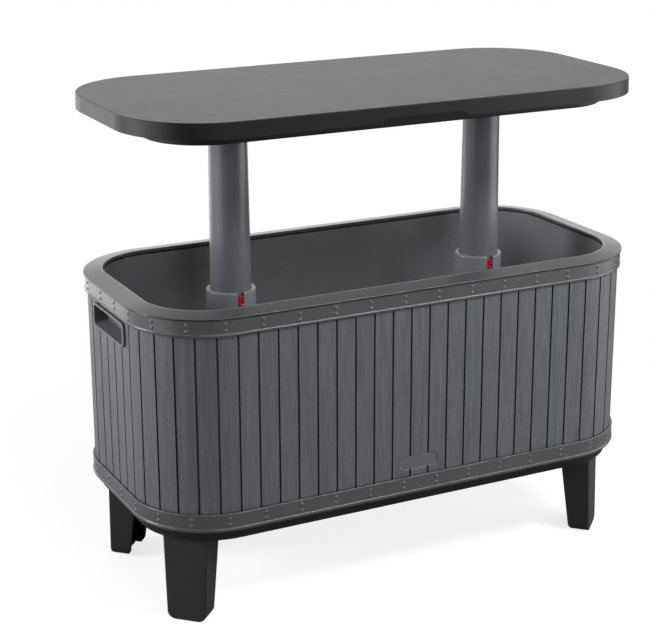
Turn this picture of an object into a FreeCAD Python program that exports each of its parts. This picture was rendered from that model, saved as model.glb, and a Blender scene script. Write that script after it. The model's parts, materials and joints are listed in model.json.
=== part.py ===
import FreeCAD, Part
import os

import Sketcher

# Cooler table with lid, in millimetres
# X is the long direction, -Y the front, Z up, and the floor is at zero
# The table top is drawn raised, with its lift posts at their upper stop

os.makedirs("parts", exist_ok=True)
doc = FreeCAD.newDocument("cooler_table")

SIZES = [
    # Outline of the planked wall, the base of all other outlines
    ("tub_length", 829.5),
    ("tub_width", 395.0),
    ("tub_corner", 120.0),
    # Planked wall
    ("shell_bottom", 161.5),
    ("shell_top", 476.4),
    ("shell_wall", 5.0),
    ("plank_total", 72),
    ("side_grooves", 20),
    ("end_grooves", 4),
    ("corner_grooves", 6),
    ("groove_width", 3.0),
    ("groove_depth", 2.4),
    # Trim bands
    ("band_thickness", 3.2),
    ("upper_band_bottom", 454.2),
    ("upper_band_top", 480.3),
    ("lower_band_bottom", 156.8),
    ("lower_band_top", 184.5),
    ("bead_radius", 2.4),
    ("bead_sink", 1.2),
    ("base_bead_radius", 3.0),
    ("base_bead_sink", 1.8),
    ("thin_bead_radius", 1.5),
    ("thin_bead_sink", 1.0),
    # Moulded rivet heads on the bands
    ("rivet_radius", 3.7),
    ("rivet_sink", 2.3),
    ("rivet_pair_gap", 9.5),
    ("upper_rivet_height", 463.4),
    ("lower_rivet_height", 167.4),
    ("side_rivets", 10),
    ("side_rivet_pitch", 57.4),
    ("end_rivet_pitch", 57.4),
    ("corner_rivets", 4),
    ("corner_rivet_start", 10.0),
    ("corner_rivet_span", 76.0),
    # Rim frame
    ("rim_overhang", 5.4),
    ("rim_edge_top", 482.3),
    ("rim_inner_top", 486.9),
    ("rim_inner_inset", 25.0),
    ("rim_lip", 3.5),
    ("rim_channel_depth", 2.2),
    ("rim_edge_round", 1.2),
    ("rim_inner_round", 1.6),
    # Liner
    ("liner_flange", 3.0),
    ("liner_top_inset", 26.5),
    ("liner_floor_inset", 35.0),
    ("liner_wall", 3.5),
    ("liner_floor_top", 151.0),
    ("liner_pad_radius", 50.0),
    ("liner_floor_round", 6.0),
    # Base tray
    ("tray_bottom", 139.0),
    ("tray_floor", 4.0),
    ("tray_bottom_inset", 8.9),
    ("tray_top_inset", 1.5),
    ("tray_wall", 4.0),
    # Legs
    ("leg_end_inset", 47.95),
    ("leg_side_inset", 52.0),
    ("leg_top_width", 71.0),
    ("leg_bottom_width", 61.0),
    ("leg_top_depth", 52.0),
    ("leg_bottom_depth", 35.0),
    ("leg_wall", 5.0),
    ("leg_splay", 4.0),
    ("leg_face_wall", 7.0),
    ("leg_plate", 6.0),
    ("leg_inner_bevel", 6.0),
    ("leg_inner_bevel_rise", 9.0),
    ("leg_corner_round", 13.0),
    ("leg_notch_width", 48.0),
    ("leg_notch_depth", 9.0),
    ("leg_edge_round", 2.5),
    ("leg_screw_side", 18.0),
    ("leg_screw_depth", 24.0),
    # Screws
    ("screw_head", 8.0),
    ("screw_head_height", 2.5),
    ("screw_shank", 4.0),
    ("screw_clearance", 0.2),
    ("screw_bite", 2.0),
    ("screw_end_wall", 1.0),
    ("screw_tip_gap", 0.2),
    ("tray_screw_x", 320.0),
    ("tray_screw_y", 80.0),
    ("tray_screw_middle_y", 120.0),
    ("tray_boss_radius", 8.0),
    # Lift posts, guide rings and sleeves
    ("post_spacing", 440.0),
    ("post_bottom", 404.5),
    ("post_seat_radius", 30.8),
    ("post_lower_radius", 31.8),
    ("post_upper_radius", 28.8),
    ("post_wall", 3.0),
    ("post_flange_radius", 44.0),
    ("post_flange", 4.0),
    ("guide_bottom", 406.0),
    ("guide_top", 418.0),
    ("guide_radius", 33.3),
    ("guide_gap", 0.05),
    ("sleeve_bore", 33.6),
    ("sleeve_outer", 35.6),
    ("sleeve_top", 418.5),
    ("sleeve_flange_radius", 48.0),
    ("sleeve_flange", 4.0),
    ("sleeve_screw_offset", 29.7),
    # Collars with lock levers
    ("collar_bottom", 398.5),
    ("collar_top", 461.5),
    ("collar_radius", 37.8),
    ("collar_bore", 32.15),
    ("collar_fit", 0.1),
    ("collar_lip_round", 2.4),
    ("slot_width", 10.5),
    ("slot_bottom", 420.0),
    ("slot_start", 30.0),
    ("lever_gap", 0.3),
    ("lever_bottom", 422.0),
    ("lever_top", 456.8),
    ("lever_front", 37.4),
    ("lever_pad", 32.1),
    ("lever_tab_back", 34.1),
    ("lever_step_bottom", 445.5),
    ("lever_step_top", 448.0),
    ("lever_top_round", 3.4),
    ("pivot_depth", 35.1),
    ("pivot_height", 442.0),
    ("pin_radius", 1.25),
    ("pin_length", 18.0),
    ("pin_hole_radius", 1.3),
    ("lever_bore_radius", 1.33),
    ("spring_notch_start", 0.9),
    ("spring_notch_bottom", 438.8),
    ("spring_radius", 2.0),
    ("spring_wire_radius", 0.25),
    ("spring_arm_radius", 0.28),
    ("spring_start", 1.4),
    ("spring_turns", 7),
    ("spring_pitch", 0.45),
    ("spring_arm", 8.0),
    # Handle cups
    ("handle_height", 431.0),
    ("handle_length", 128.0),
    ("handle_rise", 37.4),
    ("handle_corner", 9.0),
    ("handle_proud", 4.0),
    ("handle_mouth_length", 119.0),
    ("handle_mouth_rise", 31.0),
    ("handle_mouth_corner", 7.0),
    ("handle_depth", 20.5),
    ("handle_shift", 6.0),
    ("handle_wall", 2.2),
    ("handle_gap", 0.2),
    ("handle_edge_round", 1.2),
    # Plaque
    ("badge_length", 64.0),
    ("badge_rise", 21.0),
    ("badge_corner", 10.3),
    ("badge_height", 206.5),
    ("badge_recess", 2.6),
    ("badge_thickness", 1.6),
    ("badge_gap", 0.1),
    ("badge_slope", 1.3),
    # Table top and pan
    ("lift_travel", 252.0),
    ("closed_gap", 0.7),
    ("table_skirt", 23.6),
    ("table_wall", 4.0),
    ("table_top_outset", 5.4),
    ("table_edge_outset", 6.1),
    ("table_extra_corner", 5.2),
    ("table_chamfer", 0.8),
    ("notch_length", 138.0),
    ("notch_rise", 7.0),
    ("notch_corner", 5.0),
    ("through_cut", 20.0),
    ("pan_drop", 16.3),
    ("pan_bottom_inset", 37.1),
    ("pan_top_inset", 35.1),
    ("pan_wall", 3.0),
    ("pan_flange_inset", 22.0),
    ("pan_post_gap", 0.2),
    ("pan_chamfer", 2.0),
    ("post_screw_offset", 26.2),
    ("lid_screw_inset", 28.5),
    ("lid_screw_near", 120.0),
    ("lid_screw_far", 280.0),
    # Drain
    ("drain_outer", 15.0),
    ("drain_bore", 12.0),
    ("drain_bottom", 131.0),
    ("drain_flange_radius", 22.0),
    ("drain_flange", 2.5),
    ("drain_hole_gap", 0.2),
    ("nut_radius", 21.0),
    ("nut_height", 6.0),
    ("plug_radius", 11.6),
    ("plug_bottom", 139.0),
    ("plug_head_radius", 17.0),
    ("plug_head", 3.0),
    ("seal_radius", 15.0),
    ("seal_height", 1.5),
    ("seal_gap", 0.3),
    ("plug_grip_length", 20.0),
    ("plug_grip_width", 4.0),
    ("plug_grip_round", 1.8),
    ("plug_grip_rise", 10.0),
]

sheet = doc.addObject("Spreadsheet::Sheet", "Sizes")
for row, (name, number) in enumerate(SIZES, start=1):
    sheet.set(f"A{row}", name)
    sheet.set(f"B{row}", str(number))
    sheet.setAlias(f"B{row}", name)
doc.recompute()

HALF_LENGTH = "Sizes.tub_length/2"
HALF_WIDTH = "Sizes.tub_width/2"
POST_X = "Sizes.post_spacing/2"
PLANK_PITCH = (
    "((2*Sizes.tub_length + 2*Sizes.tub_width - 8*Sizes.tub_corner"
    " + 2*pi*Sizes.tub_corner)/Sizes.plank_total)"
)
CORNER_X = "(Sizes.tub_length/2 - Sizes.tub_corner)"
CORNER_Y = "(Sizes.tub_width/2 - Sizes.tub_corner)"
TABLE_EDGE = "(Sizes.rim_edge_top + Sizes.closed_gap + Sizes.lift_travel)"
TABLE_TOP = f"({TABLE_EDGE} + Sizes.table_skirt)"
PAN_BOTTOM = f"({TABLE_EDGE} - Sizes.pan_drop)"
PAN_TOP = f"({TABLE_TOP} - Sizes.table_wall)"
POST_FLANGE_BOTTOM = f"({PAN_BOTTOM} + Sizes.pan_wall)"
POST_FLANGE_TOP = f"({POST_FLANGE_BOTTOM} + Sizes.post_flange)"
TRAY_TOP = "(Sizes.tray_bottom + Sizes.tray_floor)"
LINER_FLOOR_BOTTOM = "(Sizes.liner_floor_top - Sizes.liner_wall)"
LINER_TOP = "(Sizes.shell_top + Sizes.liner_flange)"
SCREW_HOLE = "(Sizes.screw_shank + Sizes.screw_clearance)"
BLIND_END = "(Sizes.screw_end_wall + Sizes.screw_tip_gap)"
LEG_X = "(Sizes.tub_length/2 - Sizes.leg_end_inset)"
LEG_Y = "(Sizes.tub_width/2 - Sizes.leg_side_inset)"
LEG_SCREW_NEAR = "(Sizes.leg_screw_depth - Sizes.leg_screw_side)*sqrt(0.5)"
LEG_SCREW_FAR = "(Sizes.leg_screw_depth + Sizes.leg_screw_side)*sqrt(0.5)"

SIDES = [("left", -1), ("right", 1)]
CORNERS = [("rear_right", 1, 1), ("rear_left", -1, 1), ("front_left", -1, -1), ("front_right", 1, -1)]

nodes = []


def value(expression):
    """Give the number that an expression over the sheet has now."""
    result = sheet.evalExpression(expression)
    return float(getattr(result, "Value", result))


def signed(sign, expression):
    """Put a minus sign in front of an expression when the sign asks for it."""
    return f"-({expression})" if sign < 0 else f"({expression})"


def new_body(label):
    """Start a sub-part and note it as one to export."""
    body = doc.addObject("PartDesign::Body", label)
    body.Label = label
    nodes.append(body)
    return body


def origin_feature(body, role):
    """Find an origin plane or axis of a body."""
    return next(item for item in body.Origin.OriginFeatures if item.Role == role)


def new_sketch(body, name, plane, offset="0", across="0", up="0"):
    """Start a sketch on an origin plane, with its own origin moved by the given expressions."""
    sketch = body.newObject("Sketcher::SketchObject", name)
    sketch.AttachmentSupport = [(origin_feature(body, plane), "")]
    sketch.MapMode = "FlatFace"
    sketch.setExpression("AttachmentOffset.Base.x", across)
    sketch.setExpression("AttachmentOffset.Base.y", up)
    sketch.setExpression("AttachmentOffset.Base.z", offset)
    return sketch


def bind(sketch, constraint, name, expression):
    """Add a measured constraint and tie it to an expression."""
    index = sketch.addConstraint(constraint)
    sketch.renameConstraint(index, name)
    sketch.setExpression(f"Constraints.{name}", expression)


def fix_point(sketch, item, end, across, up):
    """Hold a point of a sketch at two expressions measured from the sketch origin."""
    for kind, axis, expression in (("DistanceX", -2, across), ("DistanceY", -1, up)):
        number = value(expression)
        name = f"{kind.lower()}_{item}_{end}"
        if abs(number) < 1e-7:
            sketch.addConstraint(Sketcher.Constraint("PointOnObject", item, end, axis))
        elif number > 0:
            bind(sketch, Sketcher.Constraint(kind, -1, 1, item, end, number), name, expression)
        else:
            bind(sketch, Sketcher.Constraint(kind, item, end, -1, 1, -number), name, f"-({expression})")


def draw_polygon(sketch, points):
    """Draw a closed outline through points given as pairs of expressions."""
    corners = [FreeCAD.Vector(value(across), value(up), 0) for across, up in points]
    lines = []
    for start, end in zip(corners, corners[1:] + corners[:1]):
        lines.append(sketch.addGeometry(Part.LineSegment(start, end), False))
    for line, following in zip(lines, lines[1:] + lines[:1]):
        sketch.addConstraint(Sketcher.Constraint("Coincident", line, 2, following, 1))
    for line, (across, up) in zip(lines, points):
        fix_point(sketch, line, 1, across, up)


def draw_circles(sketch, centres, diameter):
    """Draw equal circles at centres given as pairs of expressions."""
    for across, up in centres:
        centre = FreeCAD.Vector(value(across), value(up), 0)
        shape = Part.Circle(centre, FreeCAD.Vector(0, 0, 1), value(diameter) / 2)
        circle = sketch.addGeometry(shape, False)
        fix_point(sketch, circle, 3, across, up)
        constraint = Sketcher.Constraint("Diameter", circle, value(diameter))
        bind(sketch, constraint, f"diameter_{circle}", diameter)


def rounded_rectangle_shapes(half_length, half_width, radius):
    """Give the four lines and four corner arcs of a rounded rectangle, in order round it."""
    inner_x = half_length - radius
    inner_y = half_width - radius
    ends = [
        ((-inner_x, -half_width), (inner_x, -half_width)),
        ((half_length, -inner_y), (half_length, inner_y)),
        ((inner_x, half_width), (-inner_x, half_width)),
        ((-half_length, inner_y), (-half_length, -inner_y)),
    ]
    centres = [(inner_x, -inner_y), (inner_x, inner_y), (-inner_x, inner_y), (-inner_x, -inner_y)]
    shapes = []
    for quarter, ((start, end), centre) in enumerate(zip(ends, centres)):
        first_angle = FreeCAD.Units.Quantity(f"{90 * (quarter - 1)} deg").getValueAs("rad").Value
        last_angle = FreeCAD.Units.Quantity(f"{90 * quarter} deg").getValueAs("rad").Value
        circle = Part.Circle(FreeCAD.Vector(*centre, 0), FreeCAD.Vector(0, 0, 1), radius)
        shapes.append(Part.LineSegment(FreeCAD.Vector(*start, 0), FreeCAD.Vector(*end, 0)))
        shapes.append(Part.ArcOfCircle(circle, first_angle, last_angle))
    return shapes


def draw_rounded_rectangle(sketch, length, width, radius):
    """Draw a rounded rectangle about the sketch origin, sized by three expressions."""
    shapes = rounded_rectangle_shapes(value(length) / 2, value(width) / 2, value(radius))
    items = [sketch.addGeometry(shape, False) for shape in shapes]
    lines = items[0::2]
    arcs = items[1::2]
    for item, following in zip(items, items[1:] + items[:1]):
        sketch.addConstraint(Sketcher.Constraint("Tangent", item, 2, following, 1))
    for line in lines[0::2]:
        sketch.addConstraint(Sketcher.Constraint("Horizontal", line))
    for line in lines[1::2]:
        sketch.addConstraint(Sketcher.Constraint("Vertical", line))
    for arc in arcs[1:]:
        sketch.addConstraint(Sketcher.Constraint("Equal", arcs[0], arc))
    sketch.addConstraint(Sketcher.Constraint("Symmetric", lines[0], 1, lines[2], 1, -1, 1))
    first = items[0]
    constraint = Sketcher.Constraint("Radius", arcs[0], value(radius))
    bind(sketch, constraint, f"corner_{first}", radius)
    constraint = Sketcher.Constraint("DistanceX", lines[3], 1, lines[1], 1, value(length))
    bind(sketch, constraint, f"length_{first}", length)
    constraint = Sketcher.Constraint("DistanceY", lines[0], 1, lines[2], 1, value(width))
    bind(sketch, constraint, f"width_{first}", width)


def outline_sketch(body, name, height, insets, extra_corner="0"):
    """Draw the tub outline at a height, once for each inset it is moved inwards by."""
    sketch = new_sketch(body, name, "XY_Plane", height)
    for inset in insets:
        length = f"Sizes.tub_length - 2*({inset})"
        width = f"Sizes.tub_width - 2*({inset})"
        corner = f"Sizes.tub_corner - ({inset}) + ({extra_corner})"
        draw_rounded_rectangle(sketch, length, width, corner)
    return sketch


def pad(body, name, sketch, length, reverse=False, middle=False):
    """Add material from a sketch."""
    feature = body.newObject("PartDesign::Pad", name)
    feature.Profile = sketch
    feature.setExpression("Length", length)
    feature.Reversed = reverse
    feature.SideType = "Symmetric" if middle else "One side"
    sketch.Visibility = False
    return feature


def pocket(body, name, sketch, length=None, reverse=False, middle=False):
    """Cut a sketch away, through everything when no length is given."""
    feature = body.newObject("PartDesign::Pocket", name)
    feature.Profile = sketch
    feature.SideType = "Symmetric" if middle else "One side"
    if length is None:
        feature.Type = "ThroughAll"
    else:
        feature.setExpression("Length", length)
    feature.Reversed = reverse
    sketch.Visibility = False
    return feature


def loft(body, name, sketches, cut=False):
    """Join sketches in order with straight sides, adding or cutting."""
    kind = "PartDesign::SubtractiveLoft" if cut else "PartDesign::AdditiveLoft"
    feature = body.newObject(kind, name)
    feature.Profile = sketches[0]
    feature.Sections = sketches[1:]
    feature.Ruled = True
    return feature


def revolve(body, name, sketch):
    """Turn a profile drawn on the front plane once round the vertical axis."""
    feature = body.newObject("PartDesign::Revolution", name)
    feature.Profile = sketch
    feature.ReferenceAxis = (sketch, ["V_Axis"])
    feature.Angle = 360
    return feature


def repeat_along(body, name, features, axis, length, count):
    """Repeat features in a row along an origin axis of the body."""
    feature = body.newObject("PartDesign::LinearPattern", name)
    feature.Originals = features
    feature.Direction = (origin_feature(body, axis), [""])
    body.Tip = feature
    feature.setExpression("Length", length)
    feature.setExpression("Occurrences", count)
    return feature


def repeat_around(body, name, features, axis, angle, count):
    """Repeat features round an axis given as an object and a name on it."""
    feature = body.newObject("PartDesign::PolarPattern", name)
    feature.Originals = features
    feature.Axis = axis
    body.Tip = feature
    feature.setExpression("Angle", angle)
    feature.setExpression("Occurrences", count)
    return feature


def edges_where(feature, test):
    """List the names of the edges that pass a test."""
    doc.recompute()
    edges = enumerate(feature.Shape.Edges, start=1)
    return [f"Edge{number}" for number, edge in edges if test(edge)]


def round_edges(body, name, feature, test, radius):
    """Fillet the edges of a feature that pass a test."""
    fillet = body.newObject("PartDesign::Fillet", name)
    fillet.Base = (feature, edges_where(feature, test))
    fillet.setExpression("Radius", radius)
    return fillet


def at_height(edge, height):
    """Tell whether an edge lies level at a height."""
    box = edge.BoundBox
    return abs(box.ZMin - height) < 0.01 and abs(box.ZMax - height) < 0.01


def outermost(feature, height):
    """Give a test for the level edges at a height that go round the outside of a feature."""
    doc.recompute()
    box = feature.Shape.BoundBox

    def test(edge):
        if not at_height(edge, height):
            return False
        middle = edge.valueAt((edge.FirstParameter + edge.LastParameter) / 2)
        across = abs(middle.x) / box.XMax
        along = abs(middle.y) / box.YMax
        return max(across, along) > 0.98 or (across > 0.88 and along > 0.72)

    return test


def ring(body, name, bottom, top, outer_inset, inner_inset):
    """Build an oblong ring between two heights."""
    sketch = outline_sketch(body, f"{name}_outlines", bottom, [outer_inset, inner_inset])
    return pad(body, name, sketch, f"{top} - {bottom}")


def cut_holes(body, name, height, centres, diameter, depth=None, reverse=False):
    """Cut equal round holes down from a height, or up when reversed."""
    sketch = new_sketch(body, f"{name}_circles", "XY_Plane", height)
    draw_circles(sketch, centres, diameter)
    return pocket(body, name, sketch, depth, reverse)


# Outer shell with planks


def cut_groove_row(body, name, along, points, count):
    """Cut one groove and its twin on the opposite wall, and repeat them along an axis."""
    sketch = new_sketch(body, f"{name}_profile", "XY_Plane", "Sizes.shell_top")
    for outline in points:
        draw_polygon(sketch, outline)
    groove = pocket(body, f"{name}_first", sketch)
    repeat_along(body, name, [groove], along, f"({count} - 1)*{PLANK_PITCH}", count)


def groove_box(low_across, high_across, low_up, high_up):
    """Give the corner expressions of a groove in plan."""
    return [(low_across, low_up), (high_across, low_up), (high_across, high_up), (low_across, high_up)]


def cut_side_grooves(body):
    """Cut the plank grooves of the two long walls."""
    start = f"(-(Sizes.side_grooves - 1)/2*{PLANK_PITCH})"
    left = f"({start} - Sizes.groove_width/2)"
    right = f"({start} + Sizes.groove_width/2)"
    inner = f"({HALF_WIDTH} - Sizes.groove_depth)"
    outer = f"({HALF_WIDTH} + 1)"
    boxes = [
        groove_box(left, right, f"-{outer}", f"-{inner}"),
        groove_box(left, right, inner, outer),
    ]
    cut_groove_row(body, "side_grooves", "X_Axis", boxes, "Sizes.side_grooves")


def cut_end_grooves(body):
    """Cut the plank grooves of the two end walls."""
    start = f"(-(Sizes.end_grooves - 1)/2*{PLANK_PITCH})"
    near = f"({start} - Sizes.groove_width/2)"
    far = f"({start} + Sizes.groove_width/2)"
    inner = f"({HALF_LENGTH} - Sizes.groove_depth)"
    outer = f"({HALF_LENGTH} + 1)"
    boxes = [
        groove_box(f"-{outer}", f"-{inner}", near, far),
        groove_box(inner, outer, near, far),
    ]
    cut_groove_row(body, "end_grooves", "Y_Axis", boxes, "Sizes.end_grooves")


def cut_corner_grooves(body):
    """Cut the plank grooves of the four round corners."""
    first = f"(((Sizes.side_grooves/2 + 0.5)*{PLANK_PITCH} - {CORNER_X})/Sizes.tub_corner*180/pi)"
    span = f"((Sizes.corner_grooves - 1)*{PLANK_PITCH}/Sizes.tub_corner*180/pi)"
    half = "Sizes.groove_width/2"
    inner = "(Sizes.tub_corner - Sizes.groove_depth)"
    outer = "(Sizes.tub_corner + 1)"
    for quarter, (name, x_sign, y_sign) in enumerate(CORNERS):
        starts_on_side = x_sign * y_sign < 0
        within = first if starts_on_side else f"(90 - {first} - {span})"
        sketch = new_sketch(
            body,
            f"{name}_groove_profile",
            "XY_Plane",
            "Sizes.shell_top",
            signed(x_sign, CORNER_X),
            signed(y_sign, CORNER_Y),
        )
        turn = f"{90 * quarter} + {within}"
        offset = FreeCAD.Placement()
        offset.Rotation = FreeCAD.Rotation(FreeCAD.Vector(0, 0, 1), value(turn))
        sketch.AttachmentOffset = offset
        sketch.setExpression("AttachmentOffset.Rotation.Angle", turn)
        draw_polygon(sketch, groove_box(inner, outer, f"-{half}", half))
        groove = pocket(body, f"{name}_groove_first", sketch)
        axis = (sketch, ["N_Axis"])
        repeat_around(body, f"{name}_grooves", [groove], axis, span, "Sizes.corner_grooves")


def build_outer_shell():
    """Planked wall with handle windows and the sunken place for the plaque."""
    body = new_body("outer_shell")
    ring(body, "wall", "Sizes.shell_bottom", "Sizes.shell_top", "0", "Sizes.shell_wall")
    cut_side_grooves(body)
    cut_end_grooves(body)
    cut_corner_grooves(body)
    window = new_sketch(body, "window_outline", "YZ_Plane", up="Sizes.handle_height")
    margin = "2*(Sizes.handle_wall + Sizes.handle_gap)"
    draw_rounded_rectangle(
        window,
        f"Sizes.handle_mouth_length + {margin}",
        f"Sizes.handle_mouth_rise + {margin}",
        "Sizes.handle_mouth_corner + Sizes.handle_wall",
    )
    pocket(body, "handle_windows", window, "2*Sizes.tub_length", middle=True)
    plaque = new_sketch(body, "plaque_outline", "XZ_Plane", HALF_WIDTH, up="Sizes.badge_height")
    draw_rounded_rectangle(plaque, "Sizes.badge_length", "Sizes.badge_rise", "Sizes.badge_corner")
    pocket(body, "plaque_place", plaque, "Sizes.badge_recess")
    wide = new_sketch(body, "plaque_slope_wide", "XZ_Plane", HALF_WIDTH, up="Sizes.badge_height")
    draw_rounded_rectangle(
        wide,
        "Sizes.badge_length + 2*Sizes.badge_slope",
        "Sizes.badge_rise + 2*Sizes.badge_slope",
        "Sizes.badge_corner + Sizes.badge_slope",
    )
    face = f"({HALF_WIDTH} - Sizes.badge_recess + Sizes.badge_thickness)"
    narrow = new_sketch(body, "plaque_slope_narrow", "XZ_Plane", face, up="Sizes.badge_height")
    draw_rounded_rectangle(narrow, "Sizes.badge_length", "Sizes.badge_rise", "Sizes.badge_corner")
    loft(body, "plaque_slope", [wide, narrow], cut=True)


# Trim bands


def add_bead(body, name, height, kind):
    """Sweep a round bead of one kind along the outside of a band."""
    radius = f"Sizes.{kind}_radius"
    inset = f"Sizes.{kind}_sink - Sizes.band_thickness"
    path = outline_sketch(body, f"{name}_path", height, [inset])
    profile = new_sketch(body, f"{name}_profile", "YZ_Plane", f"-{CORNER_X}")
    centre = (f"-({HALF_WIDTH} - ({inset}))", height)
    draw_circles(profile, [centre], f"2*{radius}")
    bead = body.newObject("PartDesign::AdditivePipe", name)
    bead.Profile = profile
    bead.Spine = path
    return bead


def rivet_pair(body, name, across, along, lowest):
    """Place two rivet heads above each other."""
    heads = []
    for row in range(2):
        head = body.newObject("PartDesign::AdditiveSphere", f"{name}_head_{row}")
        head.setExpression("Radius", "Sizes.rivet_radius")
        head.setExpression("Placement.Base.x", across)
        head.setExpression("Placement.Base.y", along)
        head.setExpression("Placement.Base.z", f"{lowest} + {row}*Sizes.rivet_pair_gap")
        heads.append(head)
    return heads


def add_side_rivets(body, lowest):
    """Rivet heads on the two long sides of a band."""
    depth = f"({HALF_WIDTH} + Sizes.band_thickness - Sizes.rivet_sink)"
    start = "-(Sizes.side_rivets - 1)/2*Sizes.side_rivet_pitch"
    for name, sign in (("front", -1), ("rear", 1)):
        heads = rivet_pair(body, f"{name}_rivet", start, signed(sign, depth), lowest)
        length = "(Sizes.side_rivets - 1)*Sizes.side_rivet_pitch"
        repeat_along(body, f"{name}_rivets", heads, "X_Axis", length, "Sizes.side_rivets")


def add_end_rivets(body, lowest):
    """Rivet heads on the two ends of a band."""
    depth = f"({HALF_LENGTH} + Sizes.band_thickness - Sizes.rivet_sink)"
    for name, sign in SIDES:
        for place, along in (("near", -1), ("far", 1)):
            shift = signed(along, "Sizes.end_rivet_pitch/2")
            rivet_pair(body, f"{name}_{place}_rivet", signed(sign, depth), shift, lowest)


def add_corner_rivets(body, lowest):
    """Rivet heads round the four corners of a band."""
    reach = "(Sizes.tub_corner + Sizes.band_thickness - Sizes.rivet_sink)"
    for quarter, (name, x_sign, y_sign) in enumerate(CORNERS):
        starts_on_side = x_sign * y_sign < 0
        last = "(90 - Sizes.corner_rivet_start - Sizes.corner_rivet_span)"
        within = "Sizes.corner_rivet_start" if starts_on_side else last
        turn = f"({90 * quarter} + {within})"
        centre_x = signed(x_sign, CORNER_X)
        centre_y = signed(y_sign, CORNER_Y)
        axis = body.newObject("PartDesign::Line", f"{name}_corner_axis")
        axis.setExpression("Placement.Base.x", centre_x)
        axis.setExpression("Placement.Base.y", centre_y)
        across = f"{centre_x} + {reach}*cos({turn}*1deg)"
        along = f"{centre_y} + {reach}*sin({turn}*1deg)"
        heads = rivet_pair(body, f"{name}_rivet", across, along, lowest)
        span = "Sizes.corner_rivet_span"
        repeat_around(body, f"{name}_rivets", heads, (axis, [""]), span, "Sizes.corner_rivets")


def build_band(label, bottom, top, lowest_rivet, lower_bead):
    """Trim band with a thick bead below, a thin bead above and rivet heads in pairs."""
    body = new_body(label)
    outside = outline_sketch(body, "band_outline", bottom, ["-Sizes.band_thickness"])
    pad(body, "band", outside, f"{top} - {bottom}")
    add_bead(body, "lower_bead", f"{bottom} + Sizes.{lower_bead}_radius", lower_bead)
    add_bead(body, "upper_bead", f"{top} - Sizes.thin_bead_radius", "thin_bead")
    add_side_rivets(body, lowest_rivet)
    add_end_rivets(body, lowest_rivet)
    add_corner_rivets(body, lowest_rivet)
    inside = outline_sketch(body, "inside_outline", top, ["0"])
    pocket(body, "inside", inside)


# Rim frame, liner and base tray


def build_rim_frame():
    """Sloped cap ring with an overhang and a hollow underside."""
    body = new_body("rim_frame")
    edge = outline_sketch(body, "edge_outline", "Sizes.upper_band_top", ["-Sizes.rim_overhang"])
    edge_pad = pad(body, "edge", edge, "Sizes.rim_edge_top - Sizes.upper_band_top")
    test = outermost(edge_pad, value("Sizes.rim_edge_top"))
    round_edges(body, "edge_round", edge_pad, test, "Sizes.rim_edge_round")
    shoulder = "(Sizes.rim_edge_round - Sizes.rim_overhang)"
    low = outline_sketch(body, "slope_low", "Sizes.rim_edge_top", [shoulder])
    high = outline_sketch(body, "slope_high", "Sizes.rim_inner_top", ["Sizes.rim_inner_inset"])
    loft(body, "slope", [low, high])
    seat = outline_sketch(body, "seat_outline", LINER_TOP, ["0"])
    pad(body, "seat", seat, f"Sizes.upper_band_top - {LINER_TOP}")
    opening = outline_sketch(body, "opening_outline", "Sizes.rim_inner_top", ["Sizes.rim_inner_inset"])
    ring_form = pocket(body, "opening", opening)

    def on_inner_edge(edge):
        return at_height(edge, value("Sizes.rim_inner_top"))

    round_edges(body, "inner_round", ring_form, on_inner_edge, "Sizes.rim_inner_round")
    insets = ["Sizes.rim_lip", "Sizes.rim_inner_inset - Sizes.rim_lip"]
    channel = outline_sketch(body, "channel_outlines", LINER_TOP, insets)
    pocket(body, "channel", channel, "Sizes.rim_channel_depth", reverse=True)


def drain_hole(body, height, depth):
    """Cut the hole that the drain fitting passes through."""
    diameter = "2*(Sizes.drain_outer + Sizes.drain_hole_gap)"
    cut_holes(body, "drain_hole", height, [("0", "0")], diameter, depth)


def four_around(offset, centre_x="0"):
    """Give four points of a square about a centre on the X axis."""
    points = []
    for x_sign, y_sign in ((1, 1), (-1, 1), (-1, -1), (1, -1)):
        points.append((f"{centre_x} + {signed(x_sign, offset)}", signed(y_sign, offset)))
    return points


def tray_screw_points():
    """Give the places of the six screws under the base tray."""
    points = []
    for y_sign in (-1, 1):
        points.append(("0", signed(y_sign, "Sizes.tray_screw_middle_y")))
        for x_sign in (-1, 1):
            across = signed(x_sign, "Sizes.tray_screw_x")
            points.append((across, signed(y_sign, "Sizes.tray_screw_y")))
    return points


def sleeve_screw_points():
    """Give the places of the eight screws in the sleeve feet."""
    points = []
    for name, sign in SIDES:
        points += four_around("Sizes.sleeve_screw_offset", signed(sign, POST_X))
    return points


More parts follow.
